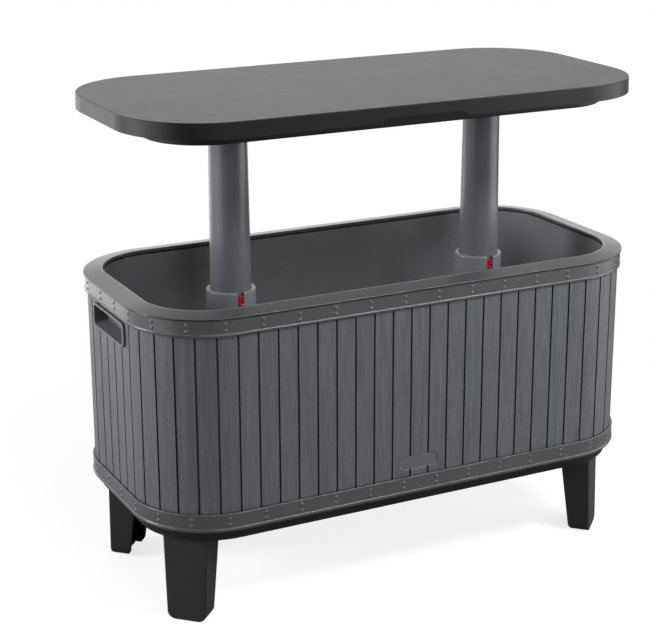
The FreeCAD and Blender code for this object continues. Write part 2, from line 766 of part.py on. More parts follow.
def build_inner_liner():
    """Smooth inner tub with a flange on top and pads under its floor."""
    body = new_body("inner_liner")
    wall = "Sizes.liner_wall"
    low = outline_sketch(body, "outer_low", LINER_FLOOR_BOTTOM, [f"Sizes.liner_floor_inset - {wall}"])
    high = outline_sketch(body, "outer_high", LINER_TOP, [f"Sizes.liner_top_inset - {wall}"])
    solid = loft(body, "outer_form", [low, high])
    test = outermost(solid, value(LINER_FLOOR_BOTTOM))
    outer_round = f"Sizes.liner_floor_round + {wall}"
    round_edges(body, "outer_round", solid, test, outer_round)
    pad_depth = f"{LINER_FLOOR_BOTTOM} - {TRAY_TOP}"
    pads = new_sketch(body, "pad_circles", "XY_Plane", LINER_FLOOR_BOTTOM)
    centres = [(signed(sign, POST_X), "0") for name, sign in SIDES]
    draw_circles(pads, centres, "2*Sizes.liner_pad_radius")
    draw_circles(pads, tray_screw_points(), "2*Sizes.tray_boss_radius")
    pad(body, "floor_pads", pads, pad_depth, reverse=True)
    flange = outline_sketch(body, "flange_outline", "Sizes.shell_top", ["0"])
    pad(body, "flange", flange, "Sizes.liner_flange")
    cavity_low = outline_sketch(body, "cavity_low", "Sizes.liner_floor_top", ["Sizes.liner_floor_inset"])
    cavity_high = outline_sketch(body, "cavity_high", LINER_TOP, ["Sizes.liner_top_inset"])
    cavity = loft(body, "cavity", [cavity_low, cavity_high], cut=True)
    floor_height = value("Sizes.liner_floor_top")

    def on_floor(edge):
        return at_height(edge, floor_height)

    round_edges(body, "floor_round", cavity, on_floor, "Sizes.liner_floor_round")
    blind = f"{LINER_FLOOR_BOTTOM} - {TRAY_TOP} + Sizes.screw_bite"
    cut_holes(body, "sleeve_screw_holes", "Sizes.liner_floor_top", sleeve_screw_points(), SCREW_HOLE, blind)
    cut_holes(body, "tray_screw_holes", TRAY_TOP, tray_screw_points(), SCREW_HOLE, blind, reverse=True)
    drain_hole(body, "Sizes.liner_floor_top", "2*Sizes.liner_wall")


def leg_screw_points():
    """Give the places of the two screws in each leg."""
    points = []
    for name, x_sign, y_sign in CORNERS:
        for shift_x, shift_y in ((LEG_SCREW_NEAR, LEG_SCREW_FAR), (LEG_SCREW_FAR, LEG_SCREW_NEAR)):
            across = signed(x_sign, f"{LEG_X} - {shift_x}")
            points.append((across, signed(y_sign, f"{LEG_Y} - {shift_y}")))
    return points


def build_base_tray():
    """Black bottom pan with a slanted skirt and the seat of the planked wall."""
    body = new_body("base_tray")
    low = outline_sketch(body, "skirt_low", "Sizes.tray_bottom", ["Sizes.tray_bottom_inset"])
    high = outline_sketch(body, "skirt_high", "Sizes.lower_band_bottom", ["Sizes.tray_top_inset"])
    loft(body, "skirt", [low, high])
    seat = outline_sketch(body, "seat_outline", "Sizes.lower_band_bottom", ["0"])
    pad(body, "seat", seat, "Sizes.shell_bottom - Sizes.lower_band_bottom")
    low_inset = "Sizes.tray_bottom_inset + Sizes.tray_wall"
    hollow_low = outline_sketch(body, "hollow_low", TRAY_TOP, [low_inset])
    high_inset = "Sizes.tray_top_inset + Sizes.tray_wall"
    hollow_high = outline_sketch(body, "hollow_high", "Sizes.shell_bottom", [high_inset])
    loft(body, "hollow", [hollow_low, hollow_high], cut=True)
    cut_holes(body, "leg_screw_holes", TRAY_TOP, leg_screw_points(), SCREW_HOLE)
    cut_holes(body, "tray_screw_holes", TRAY_TOP, tray_screw_points(), SCREW_HOLE)
    drain_hole(body, TRAY_TOP, "2*Sizes.tray_floor")


# Legs


def leg_outline(margin, bottom):
    """Give the corner expressions of a leg seen from outside, moved inwards by a margin."""
    slope = "((Sizes.leg_top_width - Sizes.leg_bottom_width)/2/Sizes.tray_bottom)"
    low = f"(Sizes.leg_bottom_width/2 + {slope}*{bottom} - {margin})"
    top = f"(Sizes.tray_bottom - {margin}*Sizes.leg_plate/Sizes.leg_wall)"
    high = f"(Sizes.leg_bottom_width/2 + {slope}*{top} - {margin})"
    return [(f"-{low}", bottom), (low, bottom), (high, top), (f"-{high}", top)]


def build_leg(name, x_sign, y_sign, turn):
    """Hollow leg with its closed face outwards and its open side inwards."""
    body = new_body(f"leg_{name}")
    outside = new_sketch(body, "leg_outline", "XZ_Plane")
    draw_polygon(outside, leg_outline("0", "0"))
    block = pad(body, "leg_block", outside, "Sizes.leg_top_depth", reverse=True)
    half = value("Sizes.leg_bottom_width/2")

    def lower_corner(edge):
        box = edge.BoundBox
        return box.YLength > 10 and box.ZMax < 0.01 and abs(abs(box.XMax) - half) < 0.01

    round_edges(body, "corner_round", block, lower_corner, "Sizes.leg_corner_round")
    wedge = new_sketch(body, "face_slant", "YZ_Plane")
    low_point = ("0", "0")
    high_points = [("Sizes.leg_splay", "Sizes.tray_bottom"), ("-1", "Sizes.tray_bottom")]
    draw_polygon(wedge, [low_point] + high_points + [("-1", "0")])
    slanted = pocket(body, "face_slant_cut", wedge, "2*Sizes.leg_top_width", middle=True)
    round_edges(body, "face_round", slanted, on_leg_face, "Sizes.leg_edge_round")
    inside = new_sketch(body, "hollow_outline", "XZ_Plane", "-Sizes.leg_face_wall")
    draw_polygon(inside, leg_outline("Sizes.leg_wall", "Sizes.leg_wall"))
    hollow = pocket(body, "leg_hollow", inside, "Sizes.leg_top_depth")

    def hollow_corner(edge):
        box = edge.BoundBox
        level = abs(box.ZMin - value("Sizes.leg_wall")) < 0.01 and box.ZLength < 0.01
        return level and box.YLength > 10 and box.XLength < 0.01

    round_edges(body, "hollow_round", hollow, hollow_corner, "Sizes.leg_corner_round - Sizes.leg_wall")
    taper = new_sketch(body, "inner_taper", "YZ_Plane")
    draw_polygon(
        taper,
        [
            ("Sizes.leg_bottom_depth", "Sizes.leg_inner_bevel_rise"),
            ("Sizes.leg_bottom_depth - Sizes.leg_inner_bevel", "0"),
            ("Sizes.leg_top_depth + 1", "0"),
            ("Sizes.leg_top_depth + 1", "Sizes.tray_bottom"),
            ("Sizes.leg_top_depth", "Sizes.tray_bottom"),
        ],
    )
    pocket(body, "inner_taper_cut", taper, "2*Sizes.leg_top_width", middle=True)
    notch = new_sketch(body, "sole_notch", "YZ_Plane")
    inner_end = "Sizes.leg_bottom_depth - Sizes.leg_inner_bevel - Sizes.leg_notch_depth"
    notch_top = "Sizes.leg_corner_round + 1"
    draw_polygon(
        notch,
        [
            (inner_end, "-1"),
            ("Sizes.leg_top_depth + 1", "-1"),
            ("Sizes.leg_top_depth + 1", notch_top),
            (inner_end, notch_top),
        ],
    )
    pocket(body, "sole_notch_cut", notch, "Sizes.leg_notch_width", middle=True)
    places = [(signed(sign, "Sizes.leg_screw_side"), "Sizes.leg_screw_depth") for sign in (-1, 1)]
    cut_holes(body, "screw_holes", "Sizes.tray_bottom", places, SCREW_HOLE, "2*Sizes.leg_plate")
    body.Placement = FreeCAD.Placement(FreeCAD.Vector(), FreeCAD.Rotation(turn, 0, 0))
    body.setExpression("Placement.Base.x", signed(x_sign, LEG_X))
    body.setExpression("Placement.Base.y", signed(y_sign, LEG_Y))


def on_leg_face(edge):
    """Tell whether an edge lies on the slanted outer face of a leg, apart from its top."""
    lean = value("Sizes.leg_splay/Sizes.tray_bottom")
    middle = edge.valueAt((edge.FirstParameter + edge.LastParameter) / 2)
    points = [vertex.Point for vertex in edge.Vertexes] + [middle]
    on_face = all(abs(point.y - lean * point.z) < 0.01 for point in points)
    return on_face and edge.BoundBox.ZMin < value("Sizes.tray_bottom") - 1


# Screws


def build_screws(label, places, seat, shank_length, heads_down=False):
    """Build a group of equal screws with round heads, seated at a height."""
    body = new_body(label)
    heads = new_sketch(body, "head_circles", "XY_Plane", seat)
    draw_circles(heads, places, "Sizes.screw_head")
    pad(body, "heads", heads, "Sizes.screw_head_height", reverse=heads_down)
    shanks = new_sketch(body, "shank_circles", "XY_Plane", seat)
    draw_circles(shanks, places, "Sizes.screw_shank")
    pad(body, "shanks", shanks, shank_length, reverse=not heads_down)


def build_tub_screws():
    """Screws of the legs, the base tray and the sleeve feet."""
    plate = "Sizes.tray_bottom - Sizes.leg_plate"
    length = "Sizes.leg_plate + Sizes.tray_floor - Sizes.screw_tip_gap"
    build_screws("leg_screws", leg_screw_points(), plate, length, heads_down=True)
    length = f"{LINER_FLOOR_BOTTOM} - Sizes.tray_bottom"
    build_screws("tray_screws", tray_screw_points(), "Sizes.tray_bottom", length, heads_down=True)
    seat = "Sizes.liner_floor_top + Sizes.sleeve_flange"
    length = "Sizes.sleeve_flange + Sizes.liner_wall + Sizes.screw_bite"
    build_screws("sleeve_screws", sleeve_screw_points(), seat, length)


# Sleeves and collars


def move_to_post(body, sign):
    """Move a body from the origin to the axis of one lift post."""
    body.setExpression("Placement.Base.x", signed(sign, POST_X))


def revolved_body(label, points):
    """Build a body by turning one outline round the vertical axis."""
    body = new_body(label)
    sketch = new_sketch(body, "half_section", "XZ_Plane")
    draw_polygon(sketch, points)
    return body, revolve(body, "turned", sketch)


def build_sleeve(side, sign):
    """Guide tube with a foot that is screwed to the liner floor."""
    foot_top = "Sizes.liner_floor_top + Sizes.sleeve_flange"
    points = [
        ("Sizes.sleeve_bore", "Sizes.liner_floor_top"),
        ("Sizes.sleeve_flange_radius", "Sizes.liner_floor_top"),
        ("Sizes.sleeve_flange_radius", foot_top),
        ("Sizes.sleeve_outer", foot_top),
        ("Sizes.sleeve_outer", "Sizes.sleeve_top"),
        ("Sizes.sleeve_bore", "Sizes.sleeve_top"),
    ]
    body, feature = revolved_body(f"post_sleeve_{side}", points)
    places = four_around("Sizes.sleeve_screw_offset")
    cut_holes(body, "screw_holes", foot_top, places, SCREW_HOLE, "2*Sizes.sleeve_flange")
    move_to_post(body, sign)


def cut_lever_slot(body):
    """Cut the open slot for the lock lever and the blind hole for its pin."""
    half = "(Sizes.slot_width/2)"
    slot = new_sketch(body, "slot_outline", "XZ_Plane", "Sizes.slot_start")
    top = "Sizes.collar_top + 1"
    bottom = "Sizes.slot_bottom"
    draw_polygon(slot, [(f"-{half}", bottom), (half, bottom), (half, top), (f"-{half}", top)])
    pocket(body, "lever_slot", slot, "Sizes.collar_radius - Sizes.slot_start + 1", reverse=True)
    hole = new_sketch(body, "pin_hole_circle", "YZ_Plane")
    draw_circles(hole, [("-Sizes.pivot_depth", "Sizes.pivot_height")], "2*Sizes.pin_hole_radius")
    pocket(body, "pin_hole", hole, "Sizes.pin_length + 0.2", middle=True)


def build_collar(side, sign):
    """Sleeve head with a rounded lip, an inner stop and the lever slot."""
    outer_bore = "Sizes.sleeve_outer + Sizes.collar_fit"
    points = [
        (outer_bore, "Sizes.collar_bottom"),
        ("Sizes.collar_radius", "Sizes.collar_bottom"),
        ("Sizes.collar_radius", "Sizes.collar_top"),
        ("Sizes.collar_bore", "Sizes.collar_top"),
        ("Sizes.collar_bore", "Sizes.sleeve_top"),
        (outer_bore, "Sizes.sleeve_top"),
    ]
    body, feature = revolved_body(f"post_collar_{side}", points)
    top = value("Sizes.collar_top")
    radius = value("Sizes.collar_radius")

    def lip(edge):
        return at_height(edge, top) and edge.BoundBox.XMax > radius - 0.1

    round_edges(body, "lip_round", feature, lip, "Sizes.collar_lip_round")
    cut_lever_slot(body)
    move_to_post(body, sign)


def build_lever(side, sign):
    """Red rocker tab with a bore for its pin and a notch for its spring."""
    body = new_body(f"lock_lever_{side}")
    front = "-Sizes.lever_front"
    profile = new_sketch(body, "side_profile", "YZ_Plane")
    points = [
        (front, "Sizes.lever_bottom"),
        ("-Sizes.lever_pad", "Sizes.lever_bottom"),
        ("-Sizes.lever_pad", "Sizes.lever_step_bottom"),
        ("-Sizes.lever_tab_back", "Sizes.lever_step_top"),
        ("-Sizes.lever_tab_back", "Sizes.lever_top"),
        (front, "Sizes.lever_top"),
    ]
    draw_polygon(profile, points)
    width = "Sizes.slot_width - 2*Sizes.lever_gap"
    block = pad(body, "tab", profile, width, middle=True)
    top = value("Sizes.lever_top")

    def top_corner(edge):
        return at_height(edge, top) and edge.BoundBox.XLength < 0.01

    round_edges(body, "top_round", block, top_corner, "Sizes.lever_top_round")
    hole = new_sketch(body, "bore_circle", "YZ_Plane")
    draw_circles(hole, [("-Sizes.pivot_depth", "Sizes.pivot_height")], "2*Sizes.lever_bore_radius")
    pocket(body, "bore", hole, "2*Sizes.slot_width", middle=True)
    notch = new_sketch(body, "spring_notch_outline", "XZ_Plane", "Sizes.slot_start")
    left = "Sizes.spring_notch_start"
    right = "Sizes.slot_width"
    low = "Sizes.spring_notch_bottom"
    high = "Sizes.lever_step_top"
    draw_polygon(notch, [(left, low), (right, low), (right, high), (left, high)])
    pocket(body, "spring_notch", notch, "Sizes.lever_front", reverse=True)
    move_to_post(body, sign)


def build_lever_pin(side, sign):
    """Steel pin across the lever slot."""
    body = new_body(f"lever_pin_{side}")
    sketch = new_sketch(body, "pin_circle", "YZ_Plane")
    draw_circles(sketch, [("-Sizes.pivot_depth", "Sizes.pivot_height")], "2*Sizes.pin_radius")
    pad(body, "pin", sketch, "Sizes.pin_length", middle=True)
    move_to_post(body, sign)


def add_wire(body, name, start, length, turn):
    """Add a straight piece of spring wire from a point given as three expressions."""
    wire = body.newObject("PartDesign::AdditiveCylinder", name)
    wire.setExpression("Radius", "Sizes.spring_arm_radius")
    wire.setExpression("Height", length)
    wire.Placement = FreeCAD.Placement(FreeCAD.Vector(), turn)
    for axis, expression in zip("xyz", start):
        wire.setExpression(f"Placement.Base.{axis}", expression)


def build_lever_spring(side, sign):
    """Close-wound torsion spring round the lever pin, with an arm at each end."""
    body = new_body(f"lever_spring_{side}")
    sideways = FreeCAD.Rotation(FreeCAD.Vector(0, 1, 0), 90)
    for number in range(int(value("Sizes.spring_turns"))):
        turn = body.newObject("PartDesign::AdditiveTorus", f"turn_{number}")
        turn.setExpression("Radius1", "Sizes.spring_radius")
        turn.setExpression("Radius2", "Sizes.spring_wire_radius")
        turn.Placement = FreeCAD.Placement(FreeCAD.Vector(), sideways)
        turn.setExpression("Placement.Base.x", f"Sizes.spring_start + {number}*Sizes.spring_pitch")
        turn.setExpression("Placement.Base.y", "-Sizes.pivot_depth")
        turn.setExpression("Placement.Base.z", "Sizes.pivot_height")
    near = "Sizes.spring_radius - Sizes.pivot_depth"
    start = ("Sizes.spring_start", near, "Sizes.pivot_height")
    add_wire(body, "tab_arm", start, "Sizes.spring_arm", FreeCAD.Rotation())
    last_turn = "(Sizes.spring_start + (Sizes.spring_turns - 1)*Sizes.spring_pitch)"
    reach = f"Sizes.slot_width/2 - {last_turn}"
    add_wire(body, "wall_arm", (last_turn, near, "Sizes.pivot_height"), reach, sideways)
    move_to_post(body, sign)


# Lift posts and guide rings


def build_post(side, sign):
    """Tapered tube with a seat for the guide ring and a top flange."""
    points = [
        ("Sizes.post_seat_radius - Sizes.post_wall", "Sizes.post_bottom"),
        ("Sizes.post_seat_radius", "Sizes.post_bottom"),
        ("Sizes.post_seat_radius", "Sizes.guide_top"),
        ("Sizes.post_lower_radius", "Sizes.guide_top"),
        ("Sizes.post_upper_radius", POST_FLANGE_BOTTOM),
        ("Sizes.post_flange_radius", POST_FLANGE_BOTTOM),
        ("Sizes.post_flange_radius", POST_FLANGE_TOP),
        ("Sizes.post_upper_radius - Sizes.post_wall", POST_FLANGE_TOP),
    ]
    body, feature = revolved_body(f"lift_post_{side}", points)
    places = four_around("Sizes.post_screw_offset")
    cut_holes(body, "screw_holes", POST_FLANGE_TOP, places, SCREW_HOLE, "2*Sizes.post_flange")
    move_to_post(body, sign)


def build_guide(side, sign):
    """Guide ring on the lower end of a post, which meets the collar at the top of the lift."""
    bore = "Sizes.post_seat_radius + Sizes.guide_gap"
    points = [
        (bore, "Sizes.guide_bottom"),
        ("Sizes.guide_radius", "Sizes.guide_bottom"),
        ("Sizes.guide_radius", "Sizes.guide_top"),
        (bore, "Sizes.guide_top"),
    ]
    body, feature = revolved_body(f"post_guide_{side}", points)
    move_to_post(body, sign)


# Handle cups and plaque


def cup_section(body, name, reach, shift, grow):
    """Draw one cross section of the hand recess, larger by a margin all round."""
    height = f"Sizes.handle_height + {shift}"
    sketch = new_sketch(body, name, "YZ_Plane", reach, up=height)
    length = f"Sizes.handle_mouth_length + 2*({grow})"
    rise = f"Sizes.handle_mouth_rise + 2*({grow})"
    draw_rounded_rectangle(sketch, length, rise, f"Sizes.handle_mouth_corner + ({grow})")
    return sketch


def build_handle_cup(side, sign):
    """Recessed grip with a proud frame, whose floor rises towards the back."""
    body = new_body(f"handle_cup_{side}")
    frame = new_sketch(body, "frame_outline", "YZ_Plane", HALF_LENGTH, up="Sizes.handle_height")
    draw_rounded_rectangle(frame, "Sizes.handle_length", "Sizes.handle_rise", "Sizes.handle_corner")
    front = f"({HALF_LENGTH} + Sizes.handle_proud)"
    frame_pad = pad(body, "frame", frame, "Sizes.handle_proud")
    front_at = value(front)

    def front_edge(edge):
        return edge.BoundBox.XMin > front_at - 0.01

    round_edges(body, "frame_round", frame_pad, front_edge, "Sizes.handle_edge_round")
    neck = cup_section(body, "neck_outline", HALF_LENGTH, "0", "Sizes.handle_wall")
    pad(body, "neck", neck, "Sizes.shell_wall", reverse=True)
    wall_back = f"({HALF_LENGTH} - Sizes.shell_wall)"
    back = f"({front} - Sizes.handle_depth - Sizes.handle_wall)"
    near = cup_section(body, "cup_near", wall_back, "0", "Sizes.handle_wall")
    far = cup_section(body, "cup_far", back, "Sizes.handle_shift", "Sizes.handle_wall")
    loft(body, "cup", [near, far])
    mouth = cup_section(body, "mouth", front, "0", "0")
    inner_back = f"({front} - Sizes.handle_depth)"
    deep = cup_section(body, "deep", inner_back, "Sizes.handle_shift", "0")
    loft(body, "hand_space", [mouth, deep], cut=True)
    if sign < 0:
        body.Placement = FreeCAD.Placement(FreeCAD.Vector(), FreeCAD.Rotation(180, 0, 0))


def build_badge():
    """Bare oval plaque, set into the planks."""
    body = new_body("badge_plate")
    back = f"({HALF_WIDTH} - Sizes.badge_recess)"
    sketch = new_sketch(body, "plaque_outline", "XZ_Plane", back, up="Sizes.badge_height")
    length = "Sizes.badge_length - 2*Sizes.badge_gap"
    rise = "Sizes.badge_rise - 2*Sizes.badge_gap"
    draw_rounded_rectangle(sketch, length, rise, "Sizes.badge_corner - Sizes.badge_gap")
    pad(body, "plaque", sketch, "Sizes.badge_thickness")


# Table top and pan


def build_table_top():
    """Flat top with a straight skirt and a finger notch in the front edge."""
    body = new_body("table_top")
    corner = "Sizes.table_extra_corner"
    low = outline_sketch(body, "edge_outline", TABLE_EDGE, ["-Sizes.table_edge_outset"], corner)
    shoulder_height = f"{TABLE_TOP} - Sizes.table_chamfer"
    shoulder_inset = "-Sizes.table_top_outset"
    middle = outline_sketch(body, "shoulder_outline", shoulder_height, [shoulder_inset], corner)
    face_inset = "Sizes.table_chamfer - Sizes.table_top_outset"
    high = outline_sketch(body, "face_outline", TABLE_TOP, [face_inset], corner)
    loft(body, "block", [low, middle, high])
    inset = "Sizes.table_wall - Sizes.table_edge_outset"
    hollow = outline_sketch(body, "hollow_outline", TABLE_EDGE, [inset], corner)
    pocket(body, "hollow", hollow, "Sizes.table_skirt - Sizes.table_wall", reverse=True)
    notch = new_sketch(body, "notch_outline", "XZ_Plane", f"{HALF_WIDTH} + Sizes.through_cut", up=TABLE_EDGE)
    rise = "2*Sizes.notch_rise"
    draw_rounded_rectangle(notch, "Sizes.notch_length", rise, "Sizes.notch_corner")
    pocket(body, "finger_notch", notch, "2*Sizes.through_cut")
    depth = "Sizes.table_wall - Sizes.screw_end_wall"
    cut_holes(body, "lid_screw_holes", PAN_TOP, lid_screw_points(), SCREW_HOLE, depth, reverse=True)


def lid_screw_points():
    """Give the places of the ten screws that hold the pan."""
    along = f"({HALF_WIDTH} - Sizes.lid_screw_inset)"
    points = []
    for x_sign in (-1, 1):
        points.append((signed(x_sign, f"{HALF_LENGTH} - Sizes.lid_screw_inset"), "0"))
        for across in ("Sizes.lid_screw_near", "Sizes.lid_screw_far"):
            for y_sign in (-1, 1):
                points.append((signed(x_sign, across), signed(y_sign, along)))
    return points


def post_screw_points():
    """Give the places of the eight screws in the post flanges."""
    points = []
    for name, sign in SIDES:
        points += four_around("Sizes.post_screw_offset", signed(sign, POST_X))
    return points


def build_under_tray():
    """Pan under the table top, with a flange and the holes of the lift posts."""
    body = new_body("under_tray")
    corner = "Sizes.table_extra_corner"
    face_inset = "Sizes.pan_bottom_inset + Sizes.pan_chamfer"
    low = outline_sketch(body, "pan_face", PAN_BOTTOM, [face_inset], corner)
    side_height = f"{PAN_BOTTOM} + Sizes.pan_chamfer"
    middle = outline_sketch(body, "pan_side", side_height, ["Sizes.pan_bottom_inset"], corner)
    high = outline_sketch(body, "pan_high", PAN_TOP, ["Sizes.pan_top_inset"], corner)
    loft(body, "pan_block", [low, middle, high])
    flange_bottom = f"({PAN_TOP} - Sizes.pan_wall)"
    flange = outline_sketch(body, "flange_outline", flange_bottom, ["Sizes.pan_flange_inset"], corner)
    pad(body, "flange", flange, "Sizes.pan_wall")
    wall = "Sizes.pan_wall"
    hollow_low = outline_sketch(
        body, "hollow_low", POST_FLANGE_BOTTOM, [f"Sizes.pan_bottom_inset + {wall}"], corner
    )
    hollow_high = outline_sketch(body, "hollow_high", PAN_TOP, [f"Sizes.pan_top_inset + {wall}"], corner)
    loft(body, "hollow", [hollow_low, hollow_high], cut=True)
    centres = [(signed(sign, POST_X), "0") for name, sign in SIDES]
    diameter = "2*(Sizes.post_upper_radius + Sizes.pan_post_gap)"
    cut_holes(body, "post_holes", POST_FLANGE_BOTTOM, centres, diameter, "2*Sizes.pan_wall")
    blind = "Sizes.pan_wall - Sizes.screw_end_wall"
    cut_holes(body, "post_screw_holes", POST_FLANGE_BOTTOM, post_screw_points(), SCREW_HOLE, blind)
    cut_holes(body, "lid_screw_holes", PAN_TOP, lid_screw_points(), SCREW_HOLE, "2*Sizes.pan_wall")


def build_table_screws():
    """Screws of the post flanges and of the pan."""
    length = f"Sizes.post_flange + Sizes.pan_wall - {BLIND_END}"
    build_screws("post_screws", post_screw_points(), POST_FLANGE_TOP, length)
    seat = f"{PAN_TOP} - Sizes.pan_wall"
    length = f"Sizes.pan_wall + Sizes.table_wall - {BLIND_END}"
    build_screws("lid_screws", lid_screw_points(), seat, length, heads_down=True)


# Drain


def build_drain():
    """Flanged spout, its nut, and the plug with its seal."""
    flange_top = "(Sizes.liner_floor_top + Sizes.drain_flange)"
    spout = [
        ("Sizes.drain_bore", "Sizes.drain_bottom"),
        ("Sizes.drain_outer", "Sizes.drain_bottom"),
        ("Sizes.drain_outer", "Sizes.liner_floor_top"),
        ("Sizes.drain_flange_radius", "Sizes.liner_floor_top"),
        ("Sizes.drain_flange_radius", flange_top),
        ("Sizes.drain_bore", flange_top),
    ]
    revolved_body("drain_fitting", spout)
    nut_bore = "Sizes.drain_outer + Sizes.guide_gap"
    nut = [
        (nut_bore, "Sizes.tray_bottom - Sizes.nut_height"),
        ("Sizes.nut_radius", "Sizes.tray_bottom - Sizes.nut_height"),
        ("Sizes.nut_radius", "Sizes.tray_bottom"),
        (nut_bore, "Sizes.tray_bottom"),
    ]
    revolved_body("drain_nut", nut)
    seal_bottom = f"({flange_top} + Sizes.seal_gap)"
    head_bottom = f"({seal_bottom} + Sizes.seal_height)"
    head_top = f"({head_bottom} + Sizes.plug_head)"
    body = new_body("drain_plug")
    stem = new_sketch(body, "stem_circle", "XY_Plane", "Sizes.plug_bottom")
    draw_circles(stem, [("0", "0")], "2*Sizes.plug_radius")
    pad(body, "stem", stem, f"{head_top} - Sizes.plug_bottom")
    head = new_sketch(body, "head_circle", "XY_Plane", head_bottom)
    draw_circles(head, [("0", "0")], "2*Sizes.plug_head_radius")
    pad(body, "head", head, "Sizes.plug_head")
    grip = new_sketch(body, "grip_outline", "XY_Plane", head_top)
    draw_rounded_rectangle(grip, "Sizes.plug_grip_length", "Sizes.plug_grip_width", "Sizes.plug_grip_round")
    pad(body, "grip", grip, "Sizes.plug_grip_rise")
    seal_bore = "Sizes.plug_radius + Sizes.guide_gap"
    seal = [
        (seal_bore, seal_bottom),
        ("Sizes.seal_radius", seal_bottom),
        ("Sizes.seal_radius", head_bottom),
        (seal_bore, head_bottom),
    ]
    revolved_body("drain_seal", seal)


build_outer_shell()
for label, lower_bead in (("upper", "bead"), ("lower", "base_bead")):
    build_band(
        f"{label}_band",
        f"Sizes.{label}_band_bottom",
        f"Sizes.{label}_band_top",
        f"Sizes.{label}_rivet_height",
        lower_bead,
    )
build_rim_frame()
build_inner_liner()
build_base_tray()
for name, x_sign, y_sign, turn in (
    ("front_left", -1, -1, -45),
    ("front_right", 1, -1, 45),
    ("rear_left", -1, 1, -135),
    ("rear_right", 1, 1, 135),
):
    build_leg(name, x_sign, y_sign, turn)
build_tub_screws()
for side, sign in SIDES:
    build_sleeve(side, sign)
    build_collar(side, sign)
    build_lever(side, sign)
    build_lever_pin(side, sign)
    build_lever_spring(side, sign)
    build_post(side, sign)
    build_guide(side, sign)
    build_handle_cup(side, sign)
build_badge()
build_table_top()
build_under_tray()
build_table_screws()
build_drain()
doc.recompute()

faults = []
for item in doc.Objects:
    empty = hasattr(item, "Shape") and item.isDerivedFrom("PartDesign::Feature") and item.Shape.isNull()
    if empty or "Invalid" in item.State or "Error" in item.State:
        faults.append(f"{item.Label}: {item.State}")
for node in nodes:
    if node.Shape.isNull() or not node.Shape.isValid():
        faults.append(f"{node.Label}: no valid shape")
if faults:
    raise RuntimeError("; ".join(faults))
for node in nodes:
    node.Shape.exportStep(f"parts/{node.Label}.step")
    print(node.Label, len(node.Shape.Solids), "solids", round(node.Shape.Volume), "mm3")
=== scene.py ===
import json
import math

import bmesh
import bpy
from mathutils import Matrix, Vector


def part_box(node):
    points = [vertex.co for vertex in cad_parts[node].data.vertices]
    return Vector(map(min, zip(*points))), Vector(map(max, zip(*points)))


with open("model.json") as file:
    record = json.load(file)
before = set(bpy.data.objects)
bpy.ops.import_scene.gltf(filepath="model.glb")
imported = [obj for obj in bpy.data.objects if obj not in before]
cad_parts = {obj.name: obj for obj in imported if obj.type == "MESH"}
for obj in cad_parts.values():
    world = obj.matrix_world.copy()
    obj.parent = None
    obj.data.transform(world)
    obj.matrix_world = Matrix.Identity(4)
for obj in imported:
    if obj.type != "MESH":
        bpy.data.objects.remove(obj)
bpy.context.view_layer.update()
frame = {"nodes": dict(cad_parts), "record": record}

# The tub's outline in metres: its round corners' centres, from the planked wall's reach and corner radius
WALL_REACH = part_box("outer_shell")[1]
TUB_CORNER = 0.12
CORNER_X = WALL_REACH[0] - TUB_CORNER
CORNER_Y = WALL_REACH[1] - TUB_CORNER

# Planks round the tub, counted from the middle of each long side to the middle of each end
PLANK_TOTAL = 72
PLANKS_TO_END = PLANK_TOTAL // 4
PLANK_PITCH = (4 * (CORNER_X + CORNER_Y) + 2 * math.pi * TUB_CORNER) / PLANK_TOTAL

# Keys that tell the planks of the left half from the right and of the front from the rear, and how
# far in metres the grain is moved from plank to plank
LEFT_RIGHT_KEY = 131.0
FRONT_REAR_KEY = 517.0
GRAIN_SHIFT = 3.0

# The cap ring, in metres: the height where it meets the band, how far its inner edge lies inside the
# tub's outline, the height from which that edge gets a painted highlight, and where the cross joints of its
# ends begin
CAP_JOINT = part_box("upper_band")[1][2]
CAP_INNER_EDGE = 0.0238
CAP_INNER_TOP = 0.4854
CAP_ENDS = 0.34

# Marks on moulded plastic: the tone of painted shade in seams and creases as a share of the dark tone, the
# reach of edge wear with its painted highlight as a multiple of the edge's rounding, and how strongly the cap
# ring's painted rim highlight and cross joints show
CREVICE_SHADE_TONE = 0.1
WEAR_AND_HIGHLIGHT_REACH = 1.6
RIM_HIGHLIGHT = 0.55
CROSS_JOINT = 0.45

# Samples of the shader nodes that look round themselves
BEVEL_SAMPLES = 6
OCCLUSION_SAMPLES = 8

# The floor's radius and the stretch over which it turns plain white, in metres, its grey for the light
# that it throws back, and its grey and glow in sight near the object
FLOOR_RADIUS = 9.0
FLOOR_NEAR = 0.55
FLOOR_FAR = 1.1
FLOOR_BOUNCE = (0.28, 0.28, 0.28)
FLOOR_SHADED = (0.4, 0.4, 0.4)
FLOOR_GLOW = 0.76
WHITE = (1.0, 1.0, 1.0)

# Directions towards the lit backdrop, and the world's strength in front and behind
FLOOR_BACKWARD = (-0.35, 1.0, 0.0)
WORLD_BACKWARD = (-0.25, 1.0, 0.0)
WORLD_FRONT = 0.05
WORLD_REAR = 1.4

# Softboxes: place, width and height in metres, and power in watts
LAMP_TARGET = (0.0, 0.0, 0.4)
LAMPS = {
    "lamp_left_rear": ((-2.7, 0.9, 1.2), 0.8, 1.2, 44.0),
    "lamp_rear_low": ((-0.7, 1.4, 0.3), 0.5, 0.6, 1.6),
    "lamp_high": ((1.0, -1.5, 2.1), 1.2, 0.3, 40.0),
    "lamp_front": ((-0.3, -2.8, 1.6), 1.0, 0.8, 17.0),
    "panel_right": ((1.48, -0.75, 0.6), 1.6, 1.1, 13.0),
    "panel_left": ((-1.5, -0.2, 0.5), 0.8, 1.0, 3.0),
}

